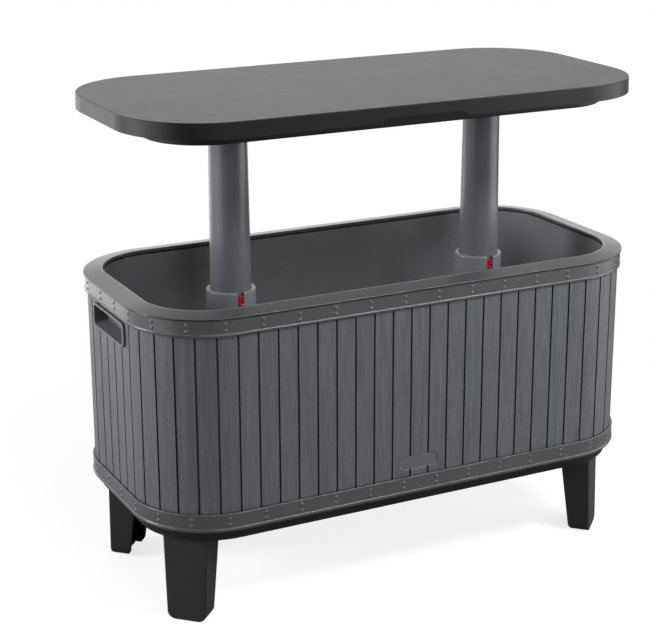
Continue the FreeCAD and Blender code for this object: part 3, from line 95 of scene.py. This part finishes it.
# The camera's place in metres, its turns in degrees, its lens and sensor in millimetres, and its
# shift as a share of the frame's width
CAMERA_PLACE = (-1.2163, -2.3021, 1.2146)
CAMERA_AZIMUTH = -27.816
CAMERA_ELEVATION = 17.691
CAMERA_ROLL = 0.103
CAMERA_LENS = 95.01
CAMERA_SENSOR = 36.0
CAMERA_SHIFT = (-0.0497, -0.00995)
CAMERA_CLIP = (0.05, 60.0)


# Shader nodes

def add_node(tree, kind, **settings):
    """Add a node and set its properties, and its sockets from the dict named sockets."""
    node = tree.nodes.new(kind)
    sockets = settings.pop("sockets", {})
    for name, value in settings.items():
        setattr(node, name, value)
    feed(tree, node, sockets)
    return node


def feed(tree, node, values):
    """Feed a node's inputs, each from a socket or with a plain value."""
    for name, value in values.items():
        if isinstance(value, bpy.types.NodeSocket):
            tree.links.new(value, node.inputs[name])
        else:
            node.inputs[name].default_value = value


def with_alpha(colour):
    """A colour as a shader node takes it; a socket stays as it is."""
    return colour if isinstance(colour, bpy.types.NodeSocket) else (*colour, 1.0)


def mix_colour(tree, factor, first, second):
    """Mix two colours; each is a socket or three numbers."""
    # The Mix node repeats its inputs' names for each kind of data, so its colours go by number
    inputs = {0: factor, 6: with_alpha(first), 7: with_alpha(second)}
    return add_node(tree, "ShaderNodeMix", data_type="RGBA", sockets=inputs).outputs[2]


def calculate(tree, operation, *values, clamp=False):
    """Combine numbers; each value is a socket or a plain number."""
    inputs = dict(enumerate(values))
    return add_node(tree, "ShaderNodeMath", operation=operation, use_clamp=clamp, sockets=inputs).outputs[0]


def add_up(tree, *shares):
    """Add numbers up, each a pair of a socket and its share."""
    total = 0.0
    for value, share in shares:
        total = calculate(tree, "MULTIPLY_ADD", value, share, total)
    return total


def spread(tree, value, low, high, to_low=0.0, to_high=1.0):
    """Stretch a range of numbers over another, held at its ends."""
    inputs = {"Value": value, "From Min": low, "From Max": high, "To Min": to_low, "To Max": to_high}
    return add_node(tree, "ShaderNodeMapRange", clamp=True, sockets=inputs).outputs["Result"]


def noise(tree, vector, scale, detail, roughness, distortion=0.0):
    """Smooth noise over a vector, from 0 to 1."""
    inputs = {
        "Vector": vector, "Scale": scale, "Detail": detail, "Roughness": roughness, "Distortion": distortion,
    }
    return add_node(tree, "ShaderNodeTexNoise", noise_dimensions="3D", sockets=inputs).outputs["Fac"]


def stretched(tree, vector, scale):
    """Scale a vector differently along each axis."""
    inputs = {"Vector": vector, "Scale": scale}
    return add_node(tree, "ShaderNodeMapping", vector_type="POINT", sockets=inputs).outputs["Vector"]


def split(tree, vector):
    """The X, Y and Z of a vector, by name."""
    return add_node(tree, "ShaderNodeSeparateXYZ", sockets={0: vector}).outputs


def dot_product(tree, first, second):
    """How far two vectors point the same way."""
    inputs = {0: first, 1: second}
    return add_node(tree, "ShaderNodeVectorMath", operation="DOT_PRODUCT", sockets=inputs).outputs["Value"]


def past_corner(tree, distance, centre):
    """How far a distance from the tub's middle goes past the centre of the round corner, or 0."""
    return calculate(tree, "MAXIMUM", calculate(tree, "SUBTRACT", distance, centre), 0.0)


# Node groups

def new_group(name, inputs, outputs):
    """Start a node group from lists of (name, kind, default) and (name, kind), with its two end nodes."""
    group = bpy.data.node_groups.new(name, "ShaderNodeTree")
    for label, kind, default in inputs:
        socket = group.interface.new_socket(name=label, in_out="INPUT", socket_type=kind)
        if default is not None:
            socket.default_value = default
    for label, kind in outputs:
        group.interface.new_socket(name=label, in_out="OUTPUT", socket_type=kind)
    return group, add_node(group, "NodeGroupInput"), add_node(group, "NodeGroupOutput")


def build_edge_wear_and_highlight():
    """Mask that is 1 where an edge is sharp, broken up by noise: wear rubbed pale, which is also a painted
    highlight on the edge.
    """
    inputs = [
        ("Vector", "NodeSocketVector", None),
        ("Radius", "NodeSocketFloat", 0.0012),
        ("Amount", "NodeSocketFloat", 0.5),
    ]
    group, start, end = new_group("edge_wear_and_highlight", inputs, [("Mask", "NodeSocketFloat")])
    radius = {"Radius": start.outputs["Radius"]}
    rounded = add_node(group, "ShaderNodeBevel", samples=BEVEL_SAMPLES, sockets=radius)
    surface = add_node(group, "ShaderNodeNewGeometry")
    alike = dot_product(group, rounded.outputs["Normal"], surface.outputs["Normal"])
    bent = spread(group, alike, low=0.985, high=0.84)
    cloud = noise(group, start.outputs["Vector"], scale=60.0, detail=4.0, roughness=0.6)
    patches = spread(group, cloud, low=0.34, high=0.62)
    mask = calculate(group, "MULTIPLY", bent, patches)
    mask = calculate(group, "MULTIPLY", mask, start.outputs["Amount"], clamp=True)
    group.links.new(mask, end.inputs["Mask"])
    return group


def build_crevice_shade():
    """Mask that is 1 deep in grooves and seams, where little light gets in."""
    inputs = [
        ("Reach", "NodeSocketFloat", 0.004),
        ("Open", "NodeSocketFloat", 0.62),
        ("Amount", "NodeSocketFloat", 1.0),
    ]
    group, start, end = new_group("crevice_shade", inputs, [("Mask", "NodeSocketFloat")])
    reach = {"Distance": start.outputs["Reach"]}
    hidden = add_node(group, "ShaderNodeAmbientOcclusion", samples=OCCLUSION_SAMPLES, sockets=reach)
    shut = calculate(group, "MULTIPLY", start.outputs["Open"], 0.5)
    mask = spread(group, hidden.outputs["AO"], start.outputs["Open"], shut)
    mask = calculate(group, "MULTIPLY", mask, start.outputs["Amount"], clamp=True)
    group.links.new(mask, end.inputs["Mask"])
    return group


def build_moulded_skin():
    """Fine pebble of moulded plastic, with slow tone and gloss changes."""
    inputs = [("Vector", "NodeSocketVector", None), ("Grain Scale", "NodeSocketFloat", 900.0)]
    outputs = [("Tone", "NodeSocketFloat"), ("Gloss", "NodeSocketFloat"), ("Height", "NodeSocketFloat")]
    group, start, end = new_group("moulded_skin", inputs, outputs)
    vector = start.outputs["Vector"]
    slow = noise(group, vector, scale=5.0, detail=3.0, roughness=0.55)
    cloudy = noise(group, vector, scale=28.0, detail=3.0, roughness=0.6)
    grain = noise(group, vector, scale=start.outputs["Grain Scale"], detail=3.0, roughness=0.55)
    tone = add_up(group, (slow, 0.5), (cloudy, 0.35), (grain, 0.15))
    gloss = add_up(group, (cloudy, 0.85), (grain, 0.15))
    group.links.new(spread(group, tone, low=0.3, high=0.7), end.inputs["Tone"])
    group.links.new(spread(group, gloss, low=0.25, high=0.75), end.inputs["Gloss"])
    group.links.new(grain, end.inputs["Height"])
    return group


def build_plank_number():
    """A random number for each plank round the tub, so that no two look the same."""
    outputs = [("Tone", "NodeSocketFloat"), ("Shifted", "NodeSocketVector")]
    group, start, end = new_group("plank_number", [("Vector", "NodeSocketVector", None)], outputs)
    place = split(group, start.outputs["Vector"])
    along = calculate(group, "ABSOLUTE", place["X"])
    across = calculate(group, "ABSOLUTE", place["Y"])

    # The way round the tub from the middle of the long side: straight, round the corner, along the end
    past_x = past_corner(group, along, CORNER_X)
    past_y = past_corner(group, across, CORNER_Y)
    turn = calculate(group, "MULTIPLY", calculate(group, "ARCTAN2", past_x, past_y), TUB_CORNER)
    run = calculate(group, "ADD", calculate(group, "MINIMUM", along, CORNER_X), turn)
    rest = calculate(group, "SUBTRACT", CORNER_Y, calculate(group, "MINIMUM", across, CORNER_Y))
    run = calculate(group, "ADD", run, rest)
    number = calculate(group, "ROUND", calculate(group, "DIVIDE", run, PLANK_PITCH))

    # Planks of the four quarters get different keys, but the middle ones lie in two quarters at once
    not_first = calculate(group, "MINIMUM", number, 1.0)
    not_last = calculate(group, "LESS_THAN", number, PLANKS_TO_END - 0.5)
    side_x = calculate(group, "MULTIPLY", calculate(group, "SIGN", place["X"]), not_first)
    side_y = calculate(group, "MULTIPLY", calculate(group, "SIGN", place["Y"]), not_last)
    key = calculate(group, "MULTIPLY_ADD", side_x, LEFT_RIGHT_KEY, number)
    key = calculate(group, "MULTIPLY_ADD", side_y, FRONT_REAR_KEY, key)
    chance = add_node(group, "ShaderNodeTexWhiteNoise", noise_dimensions="1D", sockets={"W": key})
    group.links.new(chance.outputs["Value"], end.inputs["Tone"])

    shift = {0: chance.outputs["Color"], "Scale": GRAIN_SHIFT}
    lift = add_node(group, "ShaderNodeVectorMath", operation="SCALE", sockets=shift)
    both = {0: start.outputs["Vector"], 1: lift.outputs["Vector"]}
    moved = add_node(group, "ShaderNodeVectorMath", operation="ADD", sockets=both)
    group.links.new(moved.outputs["Vector"], end.inputs["Shifted"])
    return group


def build_wood_grain():
    """Upright wood grain pressed into plastic planks: soft clouds, long fibres and pores."""
    outputs = [("Tone", "NodeSocketFloat"), ("Fibre", "NodeSocketFloat"), ("Height", "NodeSocketFloat")]
    group, start, end = new_group("pressed_wood_grain", [("Vector", "NodeSocketVector", None)], outputs)
    clouds = stretched(group, start.outputs["Vector"], (95.0, 95.0, 4.0))
    strands = stretched(group, start.outputs["Vector"], (360.0, 360.0, 15.0))
    pores = stretched(group, start.outputs["Vector"], (650.0, 650.0, 210.0))
    broad = noise(group, clouds, scale=1.0, detail=4.0, roughness=0.6, distortion=0.6)
    fibres = noise(group, strands, scale=1.0, detail=5.0, roughness=0.66, distortion=0.3)
    speckle = noise(group, pores, scale=1.0, detail=3.0, roughness=0.6)
    tone = add_up(group, (broad, 0.28), (fibres, 0.44), (speckle, 0.28))
    height = add_up(group, (fibres, 0.75), (speckle, 0.25))
    group.links.new(spread(group, tone, low=0.38, high=0.62), end.inputs["Tone"])
    group.links.new(spread(group, fibres, low=0.3, high=0.7), end.inputs["Fibre"])
    group.links.new(height, end.inputs["Height"])
    return group


def build_cap_marks():
    """Masks of the cap ring: its joints, which are dark, with painted shade where it meets the band, and a
    painted highlight on its inner edge.
    """
    outputs = [("Joints And Shade", "NodeSocketFloat"), ("Rim", "NodeSocketFloat")]
    group, start, end = new_group("cap_marks", [("Vector", "NodeSocketVector", None)], outputs)
    place = split(group, start.outputs["Vector"])
    along = calculate(group, "ABSOLUTE", place["X"])
    across = calculate(group, "ABSOLUTE", place["Y"])
    hairline = {"low": 0.0012, "high": 0.0005}

    # Cross joints at the middle and at the corners of each end
    middle = spread(group, across, **hairline)
    from_corner = calculate(group, "ABSOLUTE", calculate(group, "SUBTRACT", across, CORNER_Y))
    corner = spread(group, from_corner, **hairline)
    on_cap = spread(group, place["Z"], CAP_JOINT + 0.001, CAP_JOINT + 0.0014)
    at_ends = spread(group, along, CAP_ENDS, CAP_ENDS + 0.001, to_high=CROSS_JOINT)
    lines = calculate(group, "MULTIPLY", calculate(group, "MAXIMUM", middle, corner), on_cap)
    lines = calculate(group, "MULTIPLY", lines, at_ends)

    # Painted shade along the long joint between the cap ring and the band, in the crease under the ring's
    # overhang
    from_band = calculate(group, "ABSOLUTE", calculate(group, "SUBTRACT", place["Z"], CAP_JOINT))
    crease_shade = spread(group, from_band, low=0.0015, high=0.0008)
    group.links.new(calculate(group, "MAXIMUM", lines, crease_shade), end.inputs["Joints And Shade"])

    # A painted highlight on the inner edge, which follows the tub's outline, CAP_INNER_EDGE inside it
    past_x = past_corner(group, along, CORNER_X)
    past_y = past_corner(group, across, CORNER_Y)
    square = calculate(group, "POWER", past_x, 2.0)
    square = calculate(group, "ADD", square, calculate(group, "POWER", past_y, 2.0))
    inward = calculate(group, "SUBTRACT", TUB_CORNER - CAP_INNER_EDGE, calculate(group, "SQRT", square))
    inward = calculate(group, "ABSOLUTE", inward)
    rim_highlight = spread(group, inward, low=0.0024, high=0.0011, to_high=RIM_HIGHLIGHT)
    on_top = spread(group, place["Z"], CAP_INNER_TOP, CAP_INNER_TOP + 0.0006)
    group.links.new(calculate(group, "MULTIPLY", rim_highlight, on_top), end.inputs["Rim"])
    return group


EDGE_WEAR_AND_HIGHLIGHT = build_edge_wear_and_highlight()
CREVICE_SHADE = build_crevice_shade()
MOULDED_SKIN = build_moulded_skin()
PLANK_NUMBER = build_plank_number()
WOOD_GRAIN = build_wood_grain()
CAP_MARKS = build_cap_marks()


# Materials

def start_material(name):
    """A material with a Principled BSDF, returned with its tree, shader and Object coordinates."""
    material = bpy.data.materials.new(name)
    material.use_nodes = True
    tree = material.node_tree
    tree.nodes.clear()
    output = add_node(tree, "ShaderNodeOutputMaterial")
    shader = add_node(tree, "ShaderNodeBsdfPrincipled")
    tree.links.new(shader.outputs["BSDF"], output.inputs["Surface"])
    place = add_node(tree, "ShaderNodeTexCoord").outputs["Object"]
    return material, tree, shader, place


def place_group(tree, group, **values):
    """Put a node group into a material and feed the inputs named by the values' words."""
    inputs = {name.replace("_", " ").title(): value for name, value in values.items()}
    return add_node(tree, "ShaderNodeGroup", node_tree=group, sockets=inputs)


def add_relief(tree, shader, height, distance, round_over):
    """Round the sharp edges over a little and press the height into the surface."""
    soft = add_node(tree, "ShaderNodeBevel", samples=BEVEL_SAMPLES, sockets={"Radius": round_over})
    inputs = {"Distance": distance, "Strength": 1.0, "Height": height, "Normal": soft.outputs["Normal"]}
    bump = add_node(tree, "ShaderNodeBump", sockets=inputs)
    tree.links.new(bump.outputs["Normal"], shader.inputs["Normal"])


def moulded_plastic(
    name, dark, pale, rub_and_highlight, rough, grain_scale=900.0, grain=0.00004, wear_and_highlight=0.4, painted_shade=0.7,
    painted_shade_reach=0.0025, painted_shade_open=0.62, round_over=0.0007, shine=0.5, cap_ring=False,
):
    """Satin or matt moulded plastic: two tones, pebbled skin, painted shade in seams and creases, edges
    rubbed pale with a painted highlight.

    dark, pale and the colour of rubbed and highlighted edges are colours, rough is the lowest and highest
    roughness, and grain, the reach of the painted shade and round_over are in metres.
    """
    material, tree, shader, place = start_material(name)
    shader.inputs["Specular IOR Level"].default_value = shine
    skin = place_group(tree, MOULDED_SKIN, vector=place, grain_scale=grain_scale)
    # Edges rubbed pale, which also serves as a painted highlight along them
    worn_and_lit = place_group(tree, EDGE_WEAR_AND_HIGHLIGHT, vector=place, radius=round_over * WEAR_AND_HIGHLIGHT_REACH, amount=wear_and_highlight)
    # Painted shade, darkest deep in seams and creases where little light gets in
    painted_shade_mask = place_group(tree, CREVICE_SHADE, reach=painted_shade_reach, open=painted_shade_open, amount=painted_shade)
    shade_and_joint_colour = tuple(CREVICE_SHADE_TONE * number for number in dark)
    colour = mix_colour(tree, skin.outputs["Tone"], dark, pale)
    colour = mix_colour(tree, painted_shade_mask.outputs["Mask"], colour, shade_and_joint_colour)
    colour = mix_colour(tree, worn_and_lit.outputs["Mask"], colour, rub_and_highlight)
    if cap_ring:
        # Painted highlight on the cap ring's inner edge, and painted shade in the crease where it meets the
        # band; its cross joints are dark
        marks = place_group(tree, CAP_MARKS, vector=place)
        colour = mix_colour(tree, marks.outputs["Rim"], colour, rub_and_highlight)
        colour = mix_colour(tree, marks.outputs["Joints And Shade"], colour, shade_and_joint_colour)
    roughness = spread(tree, skin.outputs["Gloss"], 0.0, 1.0, *rough)
    feed(tree, shader, {"Base Color": colour, "Roughness": roughness})
    add_relief(tree, shader, skin.outputs["Height"], grain, round_over)
    return material


def plank_resin():
    """Grey plastic planks with upright pressed wood grain, and grooves darkened to near black by painted
    shade.
    """
    cool_dark, cool_pale = (0.078, 0.078, 0.096), (0.138, 0.139, 0.164)
    plain_dark, plain_pale = (0.072, 0.078, 0.083), (0.13, 0.14, 0.146)
    fibre_shadow = (0.07, 0.071, 0.08)
    rubbed_and_lit = (0.21, 0.213, 0.23)
    groove_shade = (0.003, 0.003, 0.004)
    material, tree, shader, place = start_material("plank_resin")
    plank = place_group(tree, PLANK_NUMBER, vector=place)
    grain = place_group(tree, WOOD_GRAIN, vector=plank.outputs["Shifted"])
    worn_and_lit = place_group(tree, EDGE_WEAR_AND_HIGHLIGHT, vector=place, radius=0.0012, amount=0.35)
    groove_shade_mask = place_group(tree, CREVICE_SHADE, reach=0.009, open=0.74, amount=1.0)

    # The planks of the left half are mostly from a cooler batch than those of the right half
    cool = mix_colour(tree, grain.outputs["Tone"], cool_dark, cool_pale)
    plain = mix_colour(tree, grain.outputs["Tone"], plain_dark, plain_pale)
    right_half = spread(tree, split(tree, place)["X"], low=-0.02, high=0.1)
    batch = add_up(tree, (right_half, 0.7), (plank.outputs["Tone"], 0.3))
    colour = mix_colour(tree, batch, cool, plain)
    fibre = spread(tree, grain.outputs["Fibre"], low=0.0, high=0.5, to_low=0.3, to_high=0.0)
    colour = mix_colour(tree, fibre, colour, fibre_shadow)
    # Edges rubbed pale, which also serves as a painted highlight; then painted shade, near black, deep in the
    # grooves
    colour = mix_colour(tree, worn_and_lit.outputs["Mask"], colour, rubbed_and_lit)
    colour = mix_colour(tree, groove_shade_mask.outputs["Mask"], colour, groove_shade)
    roughness = spread(tree, grain.outputs["Fibre"], low=0.0, high=1.0, to_low=0.6, to_high=0.46)
    feed(tree, shader, {"Base Color": colour, "Roughness": roughness})
    add_relief(tree, shader, grain.outputs["Height"], distance=0.0005, round_over=0.0007)
    return material


def trim_resin():
    """The two bands and the cap ring: satin grey, with edges rubbed pale and given painted highlights, dark
    joints, and painted shade in seams and creases.
    """
    return moulded_plastic(
        "trim_resin", dark=(0.068, 0.07, 0.075), pale=(0.084, 0.087, 0.093), rub_and_highlight=(0.3, 0.302, 0.31),
        rough=(0.24, 0.28), grain=0.000012, wear_and_highlight=0.7, painted_shade=1.0, painted_shade_reach=0.005, painted_shade_open=0.8,
        round_over=0.0016, cap_ring=True,
    )


def handle_resin():
    """The grips in the two ends."""
    return moulded_plastic(
        "handle_resin", dark=(0.094, 0.097, 0.103), pale=(0.122, 0.125, 0.133), rub_and_highlight=(0.26, 0.262, 0.27),
        rough=(0.34, 0.46),
    )


def liner_resin():
    """The smooth pale inside of the tub, with the sleeves and collars that stand in it."""
    return moulded_plastic(
        "liner_resin", dark=(0.182, 0.187, 0.2), pale=(0.186, 0.191, 0.204), rub_and_highlight=(0.28, 0.282, 0.29),
        rough=(0.27, 0.28), grain=0.000012, wear_and_highlight=0.2,
    )


def table_resin():
    """The near-black pebbled table top."""
    return moulded_plastic(
        "table_resin", dark=(0.009, 0.009, 0.0092), pale=(0.012, 0.012, 0.0122), rub_and_highlight=(0.06, 0.06, 0.06),
        rough=(0.37, 0.41), grain_scale=620.0, wear_and_highlight=0.25, shine=0.35,
    )


def black_resin():
    """The legs: matt black with a coarse pebble."""
    return moulded_plastic(
        "black_resin", dark=(0.013, 0.013, 0.0135), pale=(0.021, 0.021, 0.022), rub_and_highlight=(0.07, 0.07, 0.072),
        rough=(0.42, 0.54), grain_scale=650.0, grain=0.00006,
    )


def shaded_pan_resin():
    """The two black pans: a shaded copy of the legs' black of the same slot, deeper in tone, as painted shade
    for the pan under the table top and the tray at the base.
    """
    return moulded_plastic(
        "shaded_pan_resin", dark=(0.005, 0.005, 0.0055), pale=(0.008, 0.008, 0.0085), rub_and_highlight=(0.03, 0.03, 0.031),
        rough=(0.46, 0.56), grain_scale=650.0, grain=0.00006, wear_and_highlight=0.2, shine=0.35,
    )


def post_resin():
    """The lift posts and their guide rings: smooth cool grey."""
    return moulded_plastic(
        "post_resin", dark=(0.125, 0.127, 0.145), pale=(0.134, 0.136, 0.155), rub_and_highlight=(0.3, 0.303, 0.32),
        rough=(0.27, 0.31), grain_scale=1400.0, grain=0.000004,
    )


def lever_resin():
    """The glossy red lock levers."""
    return moulded_plastic(
        "lever_resin", dark=(0.26, 0.006, 0.01), pale=(0.36, 0.012, 0.018), rub_and_highlight=(0.5, 0.05, 0.06),
        rough=(0.24, 0.34),
    )


def plaque_resin():
    """The bare oval plaque on the front, with painted highlights on its edges and painted shade in the groove
    round it.
    """
    return moulded_plastic(
        "plaque_resin", dark=(0.1, 0.102, 0.112), pale=(0.13, 0.133, 0.144), rub_and_highlight=(0.36, 0.362, 0.37),
        rough=(0.4, 0.5), grain=0.0001, wear_and_highlight=1.0, painted_shade=1.0, painted_shade_reach=0.004, painted_shade_open=0.8,
    )


def drain_resin():
    """The drain's fitting, nut and plug."""
    return moulded_plastic(
        "drain_resin", dark=(0.02, 0.02, 0.022), pale=(0.034, 0.034, 0.037), rub_and_highlight=(0.1, 0.1, 0.103),
        rough=(0.36, 0.5),
    )


def seal_rubber():
    """The soft ring of the drain plug."""
    return moulded_plastic(
        "seal_rubber", dark=(0.012, 0.012, 0.012), pale=(0.022, 0.022, 0.022), rub_and_highlight=(0.05, 0.05, 0.05),
        rough=(0.68, 0.8),
    )


def zinc_steel():
    """Dull zinc-plated steel of screws, pins and springs."""
    material, tree, shader, place = start_material("zinc_steel")
    shader.inputs["Metallic"].default_value = 1.0
    skin = place_group(tree, MOULDED_SKIN, vector=place, grain_scale=2500.0)
    # Edges rubbed pale, which also serves as a painted highlight along them
    worn_and_lit = place_group(tree, EDGE_WEAR_AND_HIGHLIGHT, vector=place, radius=0.0004, amount=0.6)
    colour = mix_colour(tree, skin.outputs["Tone"], (0.2, 0.2, 0.205), (0.3, 0.3, 0.306))
    colour = mix_colour(tree, worn_and_lit.outputs["Mask"], colour, (0.5, 0.5, 0.51))
    roughness = spread(tree, skin.outputs["Gloss"], low=0.0, high=1.0, to_low=0.28, to_high=0.45)
    feed(tree, shader, {"Base Color": colour, "Roughness": roughness})
    add_relief(tree, shader, skin.outputs["Height"], distance=0.00001, round_over=0.0002)
    return material


SLOT_MATERIALS = {
    "plank_grey": plank_resin(),
    "trim_grey": trim_resin(),
    "handle_grey": handle_resin(),
    "liner_grey": liner_resin(),
    "table_grey": table_resin(),
    "base_black": black_resin(),
    "post_grey": post_resin(),
    "lever_red": lever_resin(),
    "plaque_grey": plaque_resin(),
    "drain_black": drain_resin(),
    "seal_rubber": seal_rubber(),
    "steel": zinc_steel(),
}
# The pans get a darker, shaded copy of the legs' black: painted shade
SHADED_PAN_BLACK = shaded_pan_resin()
PIECE_MATERIALS = {"under_tray": SHADED_PAN_BLACK, "base_tray": SHADED_PAN_BLACK}


def dress_nodes():
    """Give each CAD node its own material, or that of its slot in the record."""
    for part in frame["record"]["subparts"]:
        item = frame["nodes"][part["node"]]
        item.data.materials.clear()
        item.data.materials.append(PIECE_MATERIALS.get(part["node"], SLOT_MATERIALS[part["material_slot"]]))


# Floor, light and camera

def in_plain_sight(tree, path):
    """1 where the camera sees a surface itself, or sees it through something clear."""
    return calculate(tree, "MAXIMUM", path["Is Camera Ray"], path["Is Transmission Ray"])


def mix_shaders(tree, factor, first, second):
    """Mix two shaders by a socket."""
    return add_node(tree, "ShaderNodeMixShader", sockets={0: factor, 1: first, 2: second}).outputs[0]


def floor_white():
    """White in sight and in reflections from behind, a plain grey for the light it throws back."""
    material = bpy.data.materials.new("floor_white")
    material.use_nodes = True
    tree = material.node_tree
    tree.nodes.clear()
    output = add_node(tree, "ShaderNodeOutputMaterial")
    lit = add_node(tree, "ShaderNodeBsdfDiffuse", sockets={"Color": with_alpha(FLOOR_BOUNCE)})
    shaded = add_node(tree, "ShaderNodeBsdfDiffuse", sockets={"Color": with_alpha(FLOOR_SHADED)})
    glow = {"Color": with_alpha(WHITE), "Strength": FLOOR_GLOW}
    glowing = add_node(tree, "ShaderNodeEmission", sockets=glow)
    far = add_node(tree, "ShaderNodeEmission", sockets={"Color": with_alpha(WHITE), "Strength": 1.0})
    near = add_node(tree, "ShaderNodeAddShader", sockets={0: shaded.outputs[0], 1: glowing.outputs[0]})
    place = add_node(tree, "ShaderNodeTexCoord").outputs["Object"]
    reach = add_node(tree, "ShaderNodeVectorMath", operation="LENGTH", sockets={0: place})
    fade = spread(tree, reach.outputs["Value"], FLOOR_NEAR, FLOOR_FAR)
    seen = mix_shaders(tree, fade, near.outputs[0], far.outputs[0])
    path = add_node(tree, "ShaderNodeLightPath").outputs
    behind = spread(tree, dot_product(tree, place, FLOOR_BACKWARD), low=0.2, high=1.6)
    mirrored = calculate(tree, "MULTIPLY", path["Is Glossy Ray"], behind)
    choice = calculate(tree, "MAXIMUM", in_plain_sight(tree, path), mirrored)
    feed(tree, output, {"Surface": mix_shaders(tree, choice, lit.outputs[0], seen)})
    return material


def build_floor():
    """A white floor that keeps the soft shadow of the object."""
    mesh = bpy.data.meshes.new("floor")
    form = bmesh.new()
    bmesh.ops.create_circle(form, cap_ends=True, segments=96, radius=FLOOR_RADIUS)
    form.to_mesh(mesh)
    form.free()
    mesh.materials.append(floor_white())
    floor = bpy.data.objects.new("floor", mesh)
    bpy.context.scene.collection.objects.link(floor)


def build_world():
    """White to the eye; its light is strongest from behind, as from a studio's lit backdrop."""
    world = bpy.data.worlds.new("studio")
    world.use_nodes = True
    bpy.context.scene.world = world
    tree = world.node_tree
    tree.nodes.clear()
    output = add_node(tree, "ShaderNodeOutputWorld")
    direction = add_node(tree, "ShaderNodeTexCoord").outputs["Generated"]
    behind = spread(tree, dot_product(tree, direction, WORLD_BACKWARD), low=-0.25, high=0.75)
    low_down = spread(tree, split(tree, direction)["Z"], low=0.62, high=0.36)
    lit = calculate(tree, "MULTIPLY", behind, low_down)
    strength = spread(tree, lit, 0.0, 1.0, WORLD_FRONT, WORLD_REAR)
    light = add_node(tree, "ShaderNodeBackground", sockets={"Color": with_alpha(WHITE), "Strength": strength})
    seen = add_node(tree, "ShaderNodeBackground", sockets={"Color": with_alpha(WHITE), "Strength": 1.0})
    choice = in_plain_sight(tree, add_node(tree, "ShaderNodeLightPath").outputs)
    feed(tree, output, {"Surface": mix_shaders(tree, choice, light.outputs[0], seen.outputs[0])})


def build_lights():
    """Soft rectangular lamps, all aimed at the object's middle."""
    for name, (place, width, height, power) in LAMPS.items():
        lamp = bpy.data.lights.new(name, "AREA")
        lamp.shape = "RECTANGLE"
        lamp.size = width
        lamp.size_y = height
        lamp.energy = power
        item = bpy.data.objects.new(name, lamp)
        bpy.context.scene.collection.objects.link(item)
        item.location = place
        item.visible_camera = False
        item.rotation_euler = (Vector(LAMP_TARGET) - Vector(place)).to_track_quat("-Z", "Y").to_euler()


def build_camera():
    """Camera at the photograph's viewing angle."""
    lens = bpy.data.cameras.new("camera")
    lens.sensor_width = CAMERA_SENSOR
    lens.lens = CAMERA_LENS
    lens.shift_x, lens.shift_y = CAMERA_SHIFT
    lens.clip_start, lens.clip_end = CAMERA_CLIP
    camera = bpy.data.objects.new("camera", lens)
    bpy.context.scene.collection.objects.link(camera)
    turn = Matrix.Rotation(math.radians(CAMERA_AZIMUTH), 4, "Z")
    tilt = Matrix.Rotation(math.radians(90.0 - CAMERA_ELEVATION), 4, "X")
    roll = Matrix.Rotation(math.radians(CAMERA_ROLL), 4, "Z")
    camera.matrix_world = Matrix.Translation(CAMERA_PLACE) @ turn @ tilt @ roll
    bpy.context.scene.camera = camera


dress_nodes()
build_floor()
build_world()
build_lights()
build_camera()
bpy.context.scene.view_settings.view_transform = "Standard"
